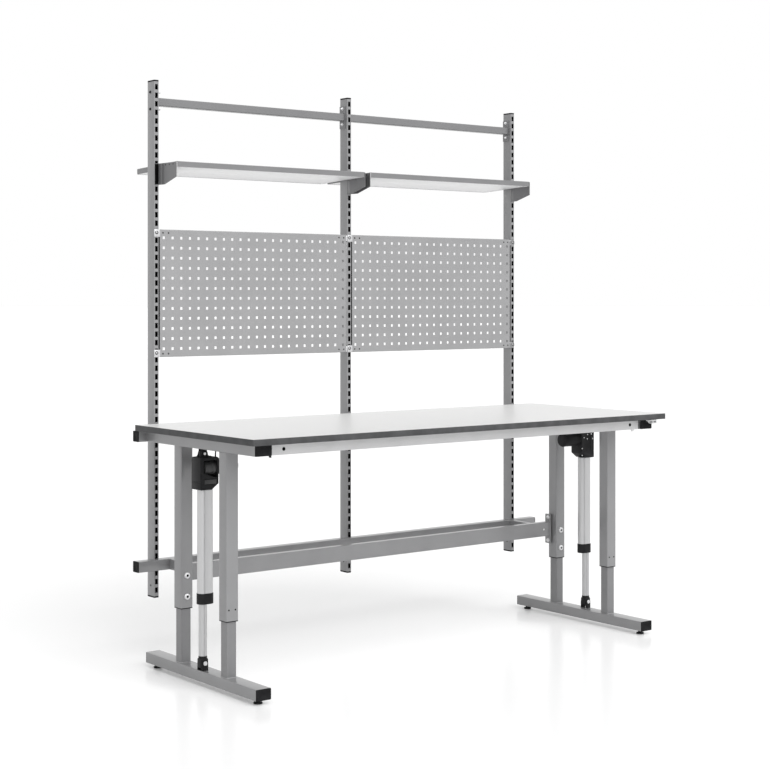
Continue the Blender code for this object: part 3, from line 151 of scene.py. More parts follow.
def plastic(name, colour, roughness=0.45, specular=0.2):
    """Moulded plastic with a fine spark-eroded grain."""
    extra = {"Specular IOR Level": specular}
    made, shader = new_material(name, colour, roughness, 0.0, extra)
    wear = noise(shader, 26.0, 3.0)
    worn = toned(shader, wear, (0.35, 0.75), colour, (0.85, 1.25))
    link(worn, shader, "Base Color")
    add_bump(shader, noise(shader, 900.0), 0.15, 0.0003)
    spread_roughness(shader, wear, roughness - 0.06, roughness + 0.08)
    return made


def metal(name, colour, roughness, along, scale, metallic=1.0, spread=0.12):
    """Bare or plated metal with drawing marks along its length."""
    made, shader = new_material(name, colour, roughness, metallic)
    marks = noise(shader, scale, 3.0, (1.0, 1.0, along))
    marked = toned(shader, marks, (0.3, 0.7), colour, (1.0 - spread, 1.0 + spread / 2))
    link(marked, shader, "Base Color")
    spread_roughness(shader, marks, roughness - 0.06, roughness + 0.08)
    add_bump(shader, marks, 0.05, 0.0002)
    return made


def laminate(name, colour):
    """High-pressure laminate: a nearly plain tone with a fine pebbled surface."""
    made, shader = new_material(name, colour, 0.36, 0.0, {"Specular IOR Level": 0.5})
    speck = noise(shader, 260.0, 4.0, rough=0.7)
    link(toned(shader, speck, (0.35, 0.65), colour, (0.965, 1.02)), shader, "Base Color")
    add_bump(shader, noise(shader, 700.0), 0.06, 0.0003)
    spread_roughness(shader, speck, 0.32, 0.42)
    return made


# Looks: a material with the record's slot
GREY = (paint("grey_powder_coat", 0.272, 0.34, 0.28), "grey_paint")
INNER_PAINT = paint("inner_leg_powder_coat", 0.215, 0.36, 0.28)
POST_PAINT = paint("upright_powder_coat", 0.285, 0.38, 0.25)
# Brackets: grey powder coat darkened with painted shade, for the shade under the shelves
BRACKET_PAINT_AND_SHADE = paint("bracket_coat_and_painted_shade", 0.16)
SHELF = (paint("shelf_powder_coat", 0.215), "grey_paint")
PANEL = (paint("panel_powder_coat", 0.345, 0.36, 0.4), "light_grey_paint")
LIGHT = (paint("light_rail_powder_coat", 0.57, 0.4, 0.35), "light_grey_paint")
BOARD = (laminate("shelf_board", cool(0.9)), "laminate")
TOP_LAMINATE = laminate("worktop_laminate", cool(0.74, -0.005))
BAND = (plastic("edge_band", (0.07, 0.071, 0.073), 0.5), "dark_edge_band")
MOULDED = (plastic("black_moulding", cool(0.015, 0.001), 0.42, 0.15), "black_plastic")
SATIN = (plastic("satin_moulding", cool(0.055, 0.001), 0.36, 0.4), "black_plastic")
PLUG = (plastic("plug_moulding", cool(0.018, 0.001), 0.5, 0.03), "black_plastic")
DRAWN = (metal("anodised_tube", cool(0.6), 0.4, 0.04, 240.0, 0.7, 0.04), "anodised_aluminium")
GROUND = (metal("ground_rod", cool(0.55), 0.36, 0.05, 260.0, 0.75, 0.04), "anodised_aluminium")
PLATED = (metal("zinc_plate", cool(0.8, 0.01), 0.3, 1.0, 120.0, 0.75, 0.1), "zinc_plated_steel")
CLIP = (metal("clip_zinc", cool(0.62, 0.01), 0.36, 1.0, 120.0, 0.75, 0.1), "zinc_plated_steel")
# Near-black painted shade, put in sockets, holes, side gaps and inside the uprights where shade
# falls
PAINTED_SHADE = (plastic("socket_shadow", cool(0.004, 0.0), 0.8, 0.0), "black_plastic")
SPINDLE_STEEL = metal("turned_steel", cool(0.55, 0.01), 0.3, 4.0, 200.0)
PALE = (plastic("handset_shell", cool(0.66), 0.35), "black_plastic")
KEY = (plastic("handset_key", cool(0.19, 0.003), 0.4), "black_plastic")
# Uprights: grey paint outside and painted shade inside, so that the slots read black
POST = (POST_PAINT, PAINTED_SHADE[0], "grey_paint")


# Meshes and pieces
# The turn that points a form's height along each axis
TURN = {
    "X": (QUARTER, 0.0, QUARTER),
    "-X": (QUARTER, 0.0, -QUARTER),
    "Y": (-QUARTER, 0.0, 0.0),
    "-Y": (QUARTER, 0.0, 0.0),
    "Z": (0.0, 0.0, 0.0),
    "-Z": (math.pi, 0.0, 0.0),
}


def outward(side):
    return "X" if side > 0 else "-X"


def middle_size(node):
    """The middle of a node's box, and its size."""
    low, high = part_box(node)
    return (low + high) / 2, high - low


def new_mesh(name, bm, *materials):
    mesh = bpy.data.meshes.new(name)
    bm.to_mesh(mesh)
    bm.free()
    for material in materials:
        mesh.materials.append(material)
    return mesh


def new_object(name, data, place=(0.0, 0.0, 0.0), turn=(0.0, 0.0, 0.0)):
    made = bpy.data.objects.new(name, data)
    bpy.context.scene.collection.objects.link(made)
    return given(made, location=place, rotation_euler=turn)


def smooth(mesh, sharp):
    """Smooth shading up to the sharp angle, in degrees."""
    mesh.shade_smooth()
    mesh.set_sharp_from_angle(angle=math.radians(sharp))


def piece(name, bm, look, place, turn="Z", node=None, body=FRAME, sharp=35.0):
    """A finished piece from a bmesh, riding on a body, in the place of a node if it has one.

    Its look is a material with its slot, or two materials with the slot of the first; the slot is
    not used.
    Its turn is the axis that its height runs along, or three angles."""
    bmesh.ops.recalc_face_normals(bm, faces=bm.faces)
    *materials, slot = look
    mesh = new_mesh(name, bm, *materials)
    smooth(mesh, sharp)
    made = new_object(name, mesh, place, TURN.get(turn, turn))
    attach(made, body)
    if node:
        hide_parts(node)


def repaint(material, *names):
    """A material on nodes that keep their shape."""
    for name in names:
        node = NODES[name]
        for place in node.material_slots:
            place.material = material
        if not node.material_slots:
            node.data.materials.append(material)


def arc(middle, radius, start, turn, steps):
    """Points on an arc round a middle, its start and its turn counted in quarters."""
    angles = [QUARTER * (start + turn * step / steps) for step in range(steps + 1)]
    return [
        Vector((middle[0] + radius * math.cos(angle), middle[1] + radius * math.sin(angle)))
        for angle in angles
    ]


def circle(radius, count=24):
    return arc((0.0, 0.0), radius, 0, 4, count)[:-1]


def hexagon(flat, count=24):
    """Points round a hexagon, given the distance from its middle to a flat."""
    ring = []
    for at in range(count):
        angle = math.tau * at / count
        reach = flat / math.cos(angle % (math.pi / 3) - math.pi / 6)
        ring.append(Vector((reach * math.cos(angle), reach * math.sin(angle))))
    return ring


def outline(width, depth, radius, steps=6):
    """Points round a rectangle with rounded corners."""
    x, y = width / 2 - radius, depth / 2 - radius
    corners = enumerate(((x, y), (-x, y), (-x, -y), (x, -y)))
    return [point for at, corner in corners for point in arc(corner, radius, at, 1, steps)]


def shrinking(width, depth, radius, steps=6, least=0.0002):
    """The rounded rectangle's points, as a function of how far it shrinks."""
    return lambda by: outline(width - 2 * by, depth - 2 * by, max(radius - by, least), steps)


def raised(ring, z):
    return [(point[0], point[1], z) for point in ring]


def skin(bm, rows, closed=True):
    """Faces from each row of vertices to the next, all round when the rows are closed."""
    for first, second in zip(rows, rows[1:]):
        count = len(first)
        for at in range(count if closed else count - 1):
            after = (at + 1) % count
            bm.faces.new((first[at], first[after], second[after], second[at]))


def loft(rings, bm=None):
    """A closed solid through rings of points, each given with its height."""
    bm = bm or bmesh.new()
    rows = [[bm.verts.new(point) for point in raised(ring, z)] for ring, z in rings]
    skin(bm, rows)
    bm.faces.new(list(reversed(rows[0])))
    bm.faces.new(rows[-1])
    return bm


def shell(rows):
    """A closed ring-shaped solid through rows of points, the last joined to the first."""
    bm = bmesh.new()
    made = [[bm.verts.new(point) for point in row] for row in rows]
    skin(bm, made + made[:1])
    return bm


def ringed(ring, levels):
    """A ring-shaped solid, from how far the ring shrinks at each level and its height."""
    return shell([raised(ring(by), z) for by, z in levels])


def easing(low, high, edge):
    """How far a form shrinks at each height, to ease its edges by the edge size."""
    part = 0.3 * edge
    return ((edge, low), (part, low + part), (0.0, low + edge),
            (0.0, high - edge), (part, high - part), (edge, high))


def eased(ring, low, high, edge):
    """A solid between two heights with eased edges, from its ring as a function."""
    return loft([(ring(by), z) for by, z in easing(low, high, edge)])


def soft_block(width, depth, radius, low, high, edge=0.0008, steps=6):
    return eased(shrinking(width, depth, radius, steps), low, high, edge)


def slab(points, low, high, edge):
    """A plate of a convex outline between two heights, with eased edges."""
    points = [Vector(point) for point in points]
    centre = sum(points, Vector((0.0, 0.0))) / len(points)
    reach = min((point - centre).length for point in points)

    def ring(by):
        return [centre + (point - centre) * (1.0 - by / reach) for point in points]

    return eased(ring, low, high, edge)


def pipe(width, depth, wall, low, high, radius=0.003, steps=6):
    """An open-ended tube with its inner wall and end rims."""
    outer = outline(width, depth, radius, steps)
    inner = outline(width - 2 * wall, depth - 2 * wall, max(radius - wall, 0.0003), steps)
    return shell([raised(outer, low), raised(outer, high), raised(inner, high), raised(inner, low)])


def bead(width, depth, radius, grow, up=1):
    """A weld bead round the foot of a rectangular tube, its base at zero."""
    levels = ((0.0, 0.0), (-grow, 0.0), (-0.4 * grow, up * 0.4 * grow), (0.0, up * grow))
    return ringed(shrinking(width, depth, radius), levels)


def plug_form(width, depth, inset, radius=0.003, head=0.003, steps=6):
    """A tube plug: an insert below zero and an eased head with a shallow dish above it."""
    insert, top = 0.015, GAP + head
    narrow = shrinking(width, depth, radius, steps, 0.0005)(inset)
    ring = shrinking(width, depth, radius, steps, 0.0004)
    dish = min(width, depth) * 0.16
    levels = ((0.0, GAP), (0.0, top - 0.0009), (0.0003, top - 0.0003), (0.0009, top),
              (dish, top), (dish + 0.0006, top - 0.0004))
    return loft([(narrow, -insert), (narrow, GAP)] + [(ring(by), z) for by, z in levels])


def turned(profile, sides, bm=None):
    """A turned solid from a profile of radius and height."""
    bm = bm or bmesh.new()
    rows = []
    for radius, z in profile:
        ring = circle(radius, sides) if radius > 1e-7 else [(0.0, 0.0)]
        rows.append([bm.verts.new(point) for point in raised(ring, z)])
    for first, second in zip(rows, rows[1:]):
        for at in range(sides):
            after = (at + 1) % sides
            corners = list(dict.fromkeys((
                first[at % len(first)], first[after % len(first)],
                second[after % len(second)], second[at % len(second)],
            )))
            if len(corners) > 2:
                bm.faces.new(corners)
    return bm


def stud(radius, rim, top_radius, top, sides, low=0.0, bm=None):
    """A turned pin whose rim slopes in to its flat top."""
    profile = [(0.0, low), (radius, low), (radius, rim), (top_radius, top), (0.0, top)]
    return turned(profile, sides, bm)


def hex_bolt(across, height, washer, washer_height):
    """A hexagon head on a round washer, chamfered at its corners."""
    flat = across / 2
    bm = stud(washer / 2, washer_height, across * 0.4, washer_height, 24)
    ring = hexagon(flat)
    return loft([(ring, washer_height), (ring, height * 0.85), (circle(0.9 * flat), height)], bm)


def stand_up(bm, axis="X"):
    """A form turned about an axis, so that its height runs forward, or to the right for Y."""
    matrix = Matrix.Rotation(QUARTER, 3, axis)
    bmesh.ops.rotate(bm, verts=bm.verts, cent=(0.0, 0.0, 0.0), matrix=matrix)
    return bm


def moved(bm, offset):
    bmesh.ops.translate(bm, verts=bm.verts, vec=offset)
    return bm


def cells(grid, is_open):
    """The corners of the cells in a grid of vertices, apart from the open ones."""
    return [
        (low[column], low[column + 1], high[column + 1], high[column])
        for row, (low, high) in enumerate(zip(grid, grid[1:]))
        for column in range(len(low) - 1) if not is_open(row, column)
    ]


def prism(points, near, far):
    """A form whose outline is in the XZ plane, between two places along Y."""
    bm = bmesh.new()
    rows = [[bm.verts.new((x, y, z)) for x, z in points] for y in (near, far)]
    skin(bm, rows)
    bm.faces.new(rows[0])
    bm.faces.new(list(reversed(rows[1])))
    return bm


def box_form(low, high):
    (x, near, z), (right, far, top) = low, high
    return prism(((x, z), (right, z), (right, top), (x, top)), near, far)


def combined(base, cutters, bevel=0.0):
    """The base form cut by the others, its edges then eased."""
    forms = []
    for bm in (base, *cutters):
        bmesh.ops.recalc_face_normals(bm, faces=bm.faces)
        forms.append(new_object("form", new_mesh("form", bm)))
    steps = forms[0].modifiers
    for cutter in forms[1:]:
        given(steps.new("cut", "BOOLEAN"), operation="DIFFERENCE", object=cutter, solver="EXACT")
    if bevel:
        given(steps.new("ease", "BEVEL"), width=bevel, segments=2, limit_method="ANGLE",
              angle_limit=math.radians(40.0))
    graph = bpy.context.evaluated_depsgraph_get()
    result = bmesh.new()
    result.from_mesh(forms[0].evaluated_get(graph).to_mesh())
    for made in forms:
        bpy.data.objects.remove(made, do_unlink=True)
    return result


def screw(name, diameter, height, socket, place, turn="-Y", look=PLATED):
    """A button head with a hexagon socket pressed into it, and the socket's near-black lining of
    painted shade.
    """
    radius = diameter / 2
    profile = ((radius, 0.0), (radius, 0.45 * height), (0.93 * radius, 0.72 * height),
               (0.76 * radius, 0.93 * height), (0.62 * radius, height),
               (socket / 2 * 1.12, height))
    well = hexagon(socket / 2 * math.cos(math.pi / 6))
    rings = [(circle(size), z) for size, z in profile]
    piece(name, loft(rings + [(well, height), (well, 0.45 * height)]), look, place, turn)
    radius, wall = socket * 0.565, 0.0003
    base, rim = 0.46 * height, height - 0.0001
    lining = ((0.0, base), (radius, base), (radius, rim), (radius - wall, rim),
              (radius - wall, base + wall), (0.0, base + wall))
    piece(f"{name}_socket", turned(lining, 6), PAINTED_SHADE, place, turn)


def dimple(name, diameter, place, turn="-Y"):
    """A small near-black disc with a thin rim, painted shade that stands for a hole."""
    radius, base = diameter / 2, 0.00008
    profile = ((0.0, 0.0), (radius, 0.0), (radius, 0.00012), (radius * 0.86, 0.00018),
               (radius * 0.8, base), (0.0, base))
    piece(name, turned(profile, 20), PAINTED_SHADE, place, turn)


# Camera, fitted to the photograph's edges
lens = given(bpy.data.cameras.new("camera"), sensor_width=36.0, lens=75.94, shift_y=-0.115,
             clip_end=200.0)
place = (-3.9577, middle_size("worktop_edge_band")[0].y - 4.9247, 1.3761)
heading = -0.6599
bpy.context.scene.camera = new_object("camera", lens, place, (QUARTER, 0.0, heading))

# Floor, light and background
FLOOR_SIZE = 400.0
FLOOR_LIFT = 0.13
WHITE = (1.0, 1.0, 1.0, 1.0)
LIT, SEEN = 0.62, 1.0
KEY_DIRECTION, KEY_STRENGTH, KEY_SPREAD = (0.0, -0.76, 0.65), 2.2, 55.0


def floor():
    """A wide pale floor with a soft sheen, a little brighter to the camera than to the object."""
    bm = bmesh.new()
    bmesh.ops.create_grid(bm, x_segments=8, y_segments=8, size=FLOOR_SIZE)
    extra = {"Specular IOR Level": 0.18, "Emission Color": WHITE}
    made, shader = new_material("floor_paint", (0.9, 0.9, 0.9), 0.22, 0.0, extra)
    pale = toned(shader, noise(shader, 0.6), (0.3, 0.7), (1.0, 1.0, 1.0), (0.895, 0.905))
    link(pale, shader, "Base Color")
    light_path = shader_node(shader, "LightPath")
    lift = shader_node(shader, "Math", {1: FLOOR_LIFT}, operation="MULTIPLY")
    link(light_path.outputs["Is Camera Ray"], lift, 0)
    link(lift.outputs["Value"], shader, "Emission Strength")
    new_object("floor", new_mesh("floor", bm, made))


def key_light():
    """A wide soft light from far away."""
    light = given(bpy.data.lights.new("key", "SUN"), energy=KEY_STRENGTH,
                  angle=math.radians(KEY_SPREAD))
    new_object("key", light, turn=Vector(KEY_DIRECTION).to_track_quat("Z", "Y").to_euler())


def background():
    """White to the camera and in reflections, and an even light on the object."""
    world = bpy.data.worlds.new("studio")
    bpy.context.scene.world = world
    world.use_nodes = True
    tree = world.node_tree
    tree.nodes.clear()
    light_path = shader_node(tree, "LightPath")
    sees = light_path.outputs["Is Camera Ray"]
    for kind in ("Glossy", "Transmission"):
        either = shader_node(tree, "Math", operation="MAXIMUM")
        link(sees, either, 0)
        link(light_path.outputs[f"Is {kind} Ray"], either, 1)
        sees = either.outputs["Value"]
    mix = shader_node(tree, "MixShader")
    link(sees, mix, "Fac")
    for at, strength in ((1, LIT), (2, SEEN)):
        plain = shader_node(tree, "Background", {"Color": WHITE, "Strength": strength})
        link(plain.outputs["Background"], mix, at)
    output = shader_node(tree, "OutputWorld")
    link(mix.outputs["Shader"], output, "Surface")


floor()
background()
key_light()
bpy.context.scene.view_settings.view_transform = "Standard"

# CAD nodes that keep their shape
for name, _ in SIDES:
    repaint(GREY[0], f"{name}_rail_arm")
    repaint(INNER_PAINT, f"{name}_front_inner_leg", f"{name}_rear_inner_leg")
    repaint(SHELF[0], f"{name}_top_rail")
    # The brackets' coat is darkened as painted shade
    repaint(BRACKET_PAINT_AND_SHADE, f"{name}_shelf_outer_bracket", f"{name}_shelf_inner_bracket")
    repaint(SPINDLE_STEEL, f"{name}_spindle")
repaint(TOP_LAMINATE, "worktop")

# Sizes that several pieces share, as in the frame
LEG_X = 0.931
LEG_YS = (("front", -0.23334), ("rear", 0.07116))
LEG_SIZE = 0.05
INNER_LEG_SIZE = 0.04
BEAM_BOTTOM = 0.8377
FOOT_TOP = 0.0555
ROD_X = 0.947
ROD_Y = -0.08874
POST_X = 0.9
POSTS = (("left", -POST_X), ("middle", 0.0), ("right", POST_X))
POST_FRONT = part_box("left_upright")[0].y
POST_DEPTH = 0.05
POST_WIDTH = 0.02


# Table frame and feet
def worktop():
    """The dark band round the top, its edges eased."""
    centre, size = middle_size("worktop_edge_band")
    half, wall = size.z / 2, 0.002
    levels = (*easing(-half, half, 0.0009), (wall, half), (wall, -half))
    band = ringed(shrinking(size.x, size.y, 0.004), levels)
    piece("edge_band", band, BAND, centre, node="worktop_edge_band")


def side_beams():
    size, front, back = (0.065, 0.04), -0.4487, 0.279
    for name, side in SIDES:
        x = side * LEG_X
        z = middle_size(f"{name}_side_beam_plug")[0].z
        piece(f"{name}_beam_tube", pipe(*size, 0.0025, front, back), GREY,
              (x, 0.0, z), "Y", f"{name}_side_beam")
        piece(f"{name}_beam_end_plug", plug_form(*size, 0.0028), PLUG,
              (x, front, z), "-Y", f"{name}_side_beam_plug")
        ears(f"{name}_top_ear", side * ROD_X, BEAM_BOTTOM, 0.8122, 0.0063, 0.012, FRAME)


def ears(name, x, base, tip, gap, half, body):
    """Two welded ears with rounded tips, either side of what they hold."""
    thick, radius = 0.003, half - 0.003
    up = 1 if tip > base else -1
    reach = abs(tip - base) - radius
    points = [(half, 0.0), *arc((half - radius, reach), radius, 0, 1, 6),
              *arc((radius - half, reach), radius, 1, 1, 6), (-half, 0.0)]
    points = [(across, up * height) for across, height in points]
    for at, low, high in (("front", gap, gap + thick), ("rear", -gap - thick, -gap)):
        bm = stand_up(slab(points, low, high, 0.0004))
        piece(f"{name}_{at}", bm, MOULDED, (x, ROD_Y, base), body=body)


# Size, corner radius and height of each ring of a guide bush
BUSH = (
    (0.0494, 0.0047, 0.25), (0.05, 0.005, 0.2504), (0.05, 0.005, 0.2533),
    (0.045, 0.004, 0.2533), (0.045, 0.004, 0.283), (0.0406, 0.004, 0.283),
    (0.0406, 0.004, 0.2504), (0.041, 0.0042, 0.25),
)


def legs():
    """The outer legs with their bushes and guide screws, and the beads at both leg joints."""
    low, high, corner, grow = 0.2533, 0.8374, 0.005, 0.0022
    for name, side in SIDES:
        for place, y in LEG_YS:
            x, face = side * LEG_X, y - LEG_SIZE / 2
            title = f"{name}_{place}"
            piece(f"{title}_leg_tube", pipe(LEG_SIZE, LEG_SIZE, 0.0025, low, high, corner),
                  GREY, (x, y, 0.0), "Z", f"{title}_outer_leg")
            rows = [raised(outline(size, size, radius), z) for size, radius, z in BUSH]
            piece(f"{title}_leg_bush", shell(rows), MOULDED, (x, y, 0.0))
            piece(f"{title}_upper_weld", bead(LEG_SIZE, LEG_SIZE, corner, grow, -1), GREY,
                  (x, y, BEAM_BOTTOM))
            piece(f"{title}_lower_weld", bead(INNER_LEG_SIZE, INNER_LEG_SIZE, 0.004, grow),
                  GREY, (x, y, FOOT_TOP), body=f"{name}_foot")
            if place == "rear":
                for level, z in (("upper", 0.37), ("lower", 0.294)):
                    screw(f"{title}_{level}_guide_screw", 0.023, 0.006, 0.0105, (x, face, z))
            else:
                for at, offset in (("left", -0.0145), ("right", 0.012)):
                    dimple(f"{title}_{at}_hole", 0.0062, (x + offset, face, 0.2918))


# Radius and height along a levelling glide and its spindle
GLIDE = (
    (0.0, 0.0), (0.0146, 0.0), (0.0155, 0.0008), (0.0155, 0.0048), (0.0148, 0.0058),
    (0.0085, 0.0068), (0.0085, 0.0162), (0.005, 0.0162), (0.005, 0.0462), (0.0, 0.0462),
)


def feet():
    size, front, back, z = (0.06, 0.039), -0.4507, 0.2873, 0.036
    for name, side in SIDES:
        body, x = f"{name}_foot", side * LEG_X
        piece(f"{name}_foot_tube", pipe(*size, 0.0025, front, back), GREY,
              (x, 0.0, z), "Y", f"{name}_foot_beam", body)
        for place, y, turn in (("front", front, "-Y"), ("rear", back, "Y")):
            piece(f"{name}_{place}_foot_cap", plug_form(*size, 0.0028), PLUG,
                  (x, y, z), turn, f"{name}_foot_{place}_plug", body)
            centre = middle_size(f"{name}_{place}_glide")[0]
            piece(f"{name}_{place}_levelling_glide", turned(GLIDE, 36), MOULDED,
                  (centre.x, centre.y, 0.0), "Z", f"{name}_{place}_glide",
                  f"{name}_{place}_levelling_foot")
        ears(f"{name}_foot_ear", side * ROD_X, FOOT_TOP, 0.0905, 0.0133, 0.0128, body)


def crossbeam():
    """The crossbeam's tube with its end plates, bolt heads and cable holes of painted shade."""
    y, z, depth, height, end = 0.08916, 0.375, 0.03, 0.06, 0.8947
    piece("crossbeam_tube", pipe(depth, height, 0.002, -end, end), GREY,
          (0.0, y, z), "X", "crossbeam")
    for name, side in SIDES:
        inward = outward(-side)
        piece(f"{name}_crossbeam_plate", soft_block(0.032, 0.126, 0.003, 0.0, 0.0055, 0.0007),
              GREY, (side * end, y - 0.0005, z), outward(side))
        piece(f"{name}_crossbeam_weld", bead(depth, height, 0.003, 0.0018), GREY,
              (side * end, y, z), inward)
        for level, bolt_z in (("upper", 0.424), ("lower", 0.326)):
            piece(f"{name}_{level}_plate_bolt", hex_bolt(0.013, 0.005, 0.0165, 0.0012),
                  PLATED, (side * end, y - 0.003, bolt_z), inward)
        at = (side * 0.8582, y - depth / 2, z)
        dimple(f"{name}_crossbeam_hole", 0.012, at)
        rivet = ((0.0, 0.0), (0.0048, 0.0), (0.0046, 0.001), (0.003, 0.0022), (0.0, 0.0025))
        piece(f"{name}_crossbeam_rivet", turned(rivet, 24), PLATED, at, "-Y")


def rear_rails():
    size = 0.04
    for name in ("upper_rear_rail", "lower_rear_rail"):
        centre, whole = middle_size(name)
        reach = whole.x / 2 - 0.0033
        piece(f"{name}_tube", pipe(size, size, 0.002, -reach, reach), GREY, centre, "X", name)
        for place, side in SIDES:
            piece(f"{name}_{place}_plug", plug_form(size, size, 0.0022), PLUG,
                  (side * reach, centre.y, centre.z), outward(side))


def front_rail():
    """The rail with its dark end gaskets and fittings, and the small hanging tabs."""
    centre, size = middle_size("front_rail")
    low, reach = centre - size / 2, 0.8922
    piece("front_rail_tube", pipe(0.025, 0.04, 0.002, -reach, reach), LIGHT,
          centre, "X", "front_rail")
    for place, side in SIDES:
        gasket = soft_block(0.0244, 0.0394, 0.003, -0.012, 0.0058, 0.0006)
        piece(f"front_rail_{place}_gasket", gasket, MOULDED,
              (side * reach, centre.y, centre.z), outward(side))
        dimple(f"front_rail_{place}_hole", 0.0132, (side * 0.8435, low.y, centre.z))
    tab = soft_block(0.0026, 0.014, 0.001, -0.0075, 0.002, 0.0005)
    piece("front_rail_left_tab", tab, MOULDED, (-0.8945, centre.y - 0.005, low.z))
    piece("front_rail_right_bolt", hex_bolt(0.0105, 0.008, 0.014, 0.001), PLATED,
          (0.8673, centre.y - 0.004, low.z), "-Z")


# Uprights
SLOT_PITCH, FIRST_SLOT, SLOT_COUNT = 0.032, 2.1627, 60
SLOT_HALF_WIDTH, SLOT_HALF_HEIGHT = 0.0059, 0.0102
NUT_TIPS = {"left": 0.019, "middle": 0.009, "right": 0.009}


def post_mesh(low, high):
    """A slotted post: its front wall in the XZ plane, its slots through that wall."""
    wall, steps = 0.0018, 3
    bm = bmesh.new()
    slots = [FIRST_SLOT - index * SLOT_PITCH for index in reversed(range(SLOT_COUNT))]
    zs = [low, *(z + sign * SLOT_HALF_HEIGHT for z in slots for sign in (-1, 1)), high]
    grids, loops = [], []
    for layer, (inset, radius) in enumerate(((0.0, 0.002), (wall, 0.0006))):
        section = outline(POST_WIDTH - 2 * inset, POST_DEPTH - 2 * inset, radius, steps)
        ring = [(x, y + POST_DEPTH / 2) for x, y in section]
        flat = POST_WIDTH / 2 - inset - radius
        xs = (-flat, -SLOT_HALF_WIDTH, SLOT_HALF_WIDTH, flat)
        grid = [[bm.verts.new((x, inset, z)) for x in xs] for z in zs]
        faces = cells(grid, lambda row, column: column == 1 and row % 2 == 1)
        front = 3 * (steps + 1)
        order = ring[front:] + ring[:front]
        left, right = ([line[at] for line in grid] for at in (0, -1))
        lower, upper = (
            [right[end]] + [bm.verts.new((*point, z)) for point in order[1:-1]] + [left[end]]
            for end, z in ((0, low), (-1, high))
        )
        faces.append([lower[0], lower[1], upper[1]] + list(reversed(right))[:-1])
        faces += [(lower[at], lower[at + 1], upper[at + 1], upper[at])
                  for at in range(1, len(ring) - 2)]
        faces.append([lower[-2]] + left + [upper[-2]])
        for corners in faces:
            # The inner layer takes the second material, painted shade that makes the slots read
            # black
            bm.faces.new(corners).material_index = layer
        grids.append(grid)
        loops.append((lower, upper))
    for outer, inner in zip(*loops):
        skin(bm, [outer, inner], closed=False)
    for end in (0, -1):
        skin(bm, [grids[0][end], grids[1][end]], closed=False)
    for row in range(1, len(zs) - 1, 2):
        outer, inner = (
            [grid[row][1], grid[row][2], grid[row + 1][2], grid[row + 1][1]] for grid in grids
        )
        skin(bm, [outer, inner])
    return bm


def uprights():
    low, high = 0.2518, 2.1832
    y = POST_FRONT + POST_DEPTH / 2
    for name, x in POSTS:
        piece(f"{name}_post", post_mesh(low, high), POST, (x, POST_FRONT, 0.0), "Z",
              f"{name}_upright")
        for place, z, turn in (("top", high, "Z"), ("bottom", low, "-Z")):
            plug = plug_form(POST_WIDTH, POST_DEPTH, 0.002, 0.002, 0.0055, 4)
            piece(f"{name}_post_{place}_plug", plug, PLUG, (x, y, z), turn)
        for level, z in (("upper", 0.8507), ("lower", 0.3707)):
            screw(f"{name}_post_{level}_bolt", 0.014, 0.0045, 0.0065,
                  (x, POST_FRONT + POST_DEPTH, z), "Y")
        for label, side in SIDES:
            dimple(f"{name}_post_{label}_hole", 0.0072,
                   (x + side * POST_WIDTH / 2, y, 0.2903), outward(side))


def top_rail_bolts():
    """Bolts through the uprights into the rails' end plates, with their nuts."""
    y, plate = POST_FRONT + 0.0284, 0.0033
    for place, z in (("upper", 2.1447), ("lower", 2.0807)):
        for name, x in POSTS:
            for label, side in SIDES:
                face = x + side * POST_WIDTH / 2
                if side * x > 0:
                    screw(f"{name}_post_{place}_side_screw", 0.0105, 0.003, 0.0066,
                          (face, y, z), outward(side), MOULDED)
                    continue
                reach = NUT_TIPS[name]
                nut = stud(0.0029, reach - 0.001, 0.0023, reach, 16,
                           bm=hex_bolt(0.0098, 0.0062, 0.0125, 0.0012))
                piece(f"{name}_{label}_{place}_nut", nut, PLATED,
                      (face + side * plate, y, z), outward(side))


# Perforated tool panels and shelves
BEND = 0.002
FLAT_STRIP = 0.0008
PANEL_WIDTH, PANEL_HEIGHT, PANEL_FOLD, PANEL_Z = 0.87, 0.48, 0.018, 1.388
HOLE_PITCH, HOLE_HALF, HOLE_COLUMNS, HOLE_ROWS = 0.038, 0.0051, 23, 12
CLIP_Z = 0.226
SHELF_TILT = math.radians(2.2)


def tray_mesh(width, height, fold, holes=()):
    """A folded tray with square holes, its face in the XZ plane and its folds behind."""
    def lines(size, middles):
        half = size / 2 - BEND - FLAT_STRIP
        edges = {round(at + sign * HOLE_HALF, 6) for at in middles for sign in (-1, 1)}
        return sorted({-half, half} | edges)

    xs = lines(width, [x for x, z in holes])
    zs = lines(height, [z for x, z in holes])
    bm = bmesh.new()
    grid = [[bm.verts.new((x, 0.0, z)) for x in xs] for z in zs]

    def is_open(row, column):
        x, z = (xs[column] + xs[column + 1]) / 2, (zs[row] + zs[row + 1]) / 2
        return any(max(abs(x - at_x), abs(z - at_z)) < HOLE_HALF for at_x, at_z in holes)

    for corners in cells(grid, is_open):
        bm.faces.new(corners)
    borders = (([line[0] for line in grid], (-1.0, 0.0, 0.0)),
               ([line[-1] for line in grid], (1.0, 0.0, 0.0)),
               (grid[0], (0.0, 0.0, -1.0)), (grid[-1], (0.0, 0.0, 1.0)))
    side = [(FLAT_STRIP, 0.0), *arc((FLAT_STRIP, BEND), BEND, -1, 1, 4)[1:],
            (FLAT_STRIP + BEND, BEND + FLAT_STRIP), (FLAT_STRIP + BEND, fold)]
    for verts, outside in borders:
        starts = [vert.co.copy() for vert in verts]
        rows = [verts]
        for out, back in side:
            step = Vector(outside) * out + Vector((0.0, back, 0.0))
            rows.append([bm.verts.new(start + step) for start in starts])
        skin(bm, rows, closed=False)
    loose = [vert for vert in bm.verts if not vert.link_faces]
    bmesh.ops.delete(bm, geom=loose, context="VERTS")
    return bm


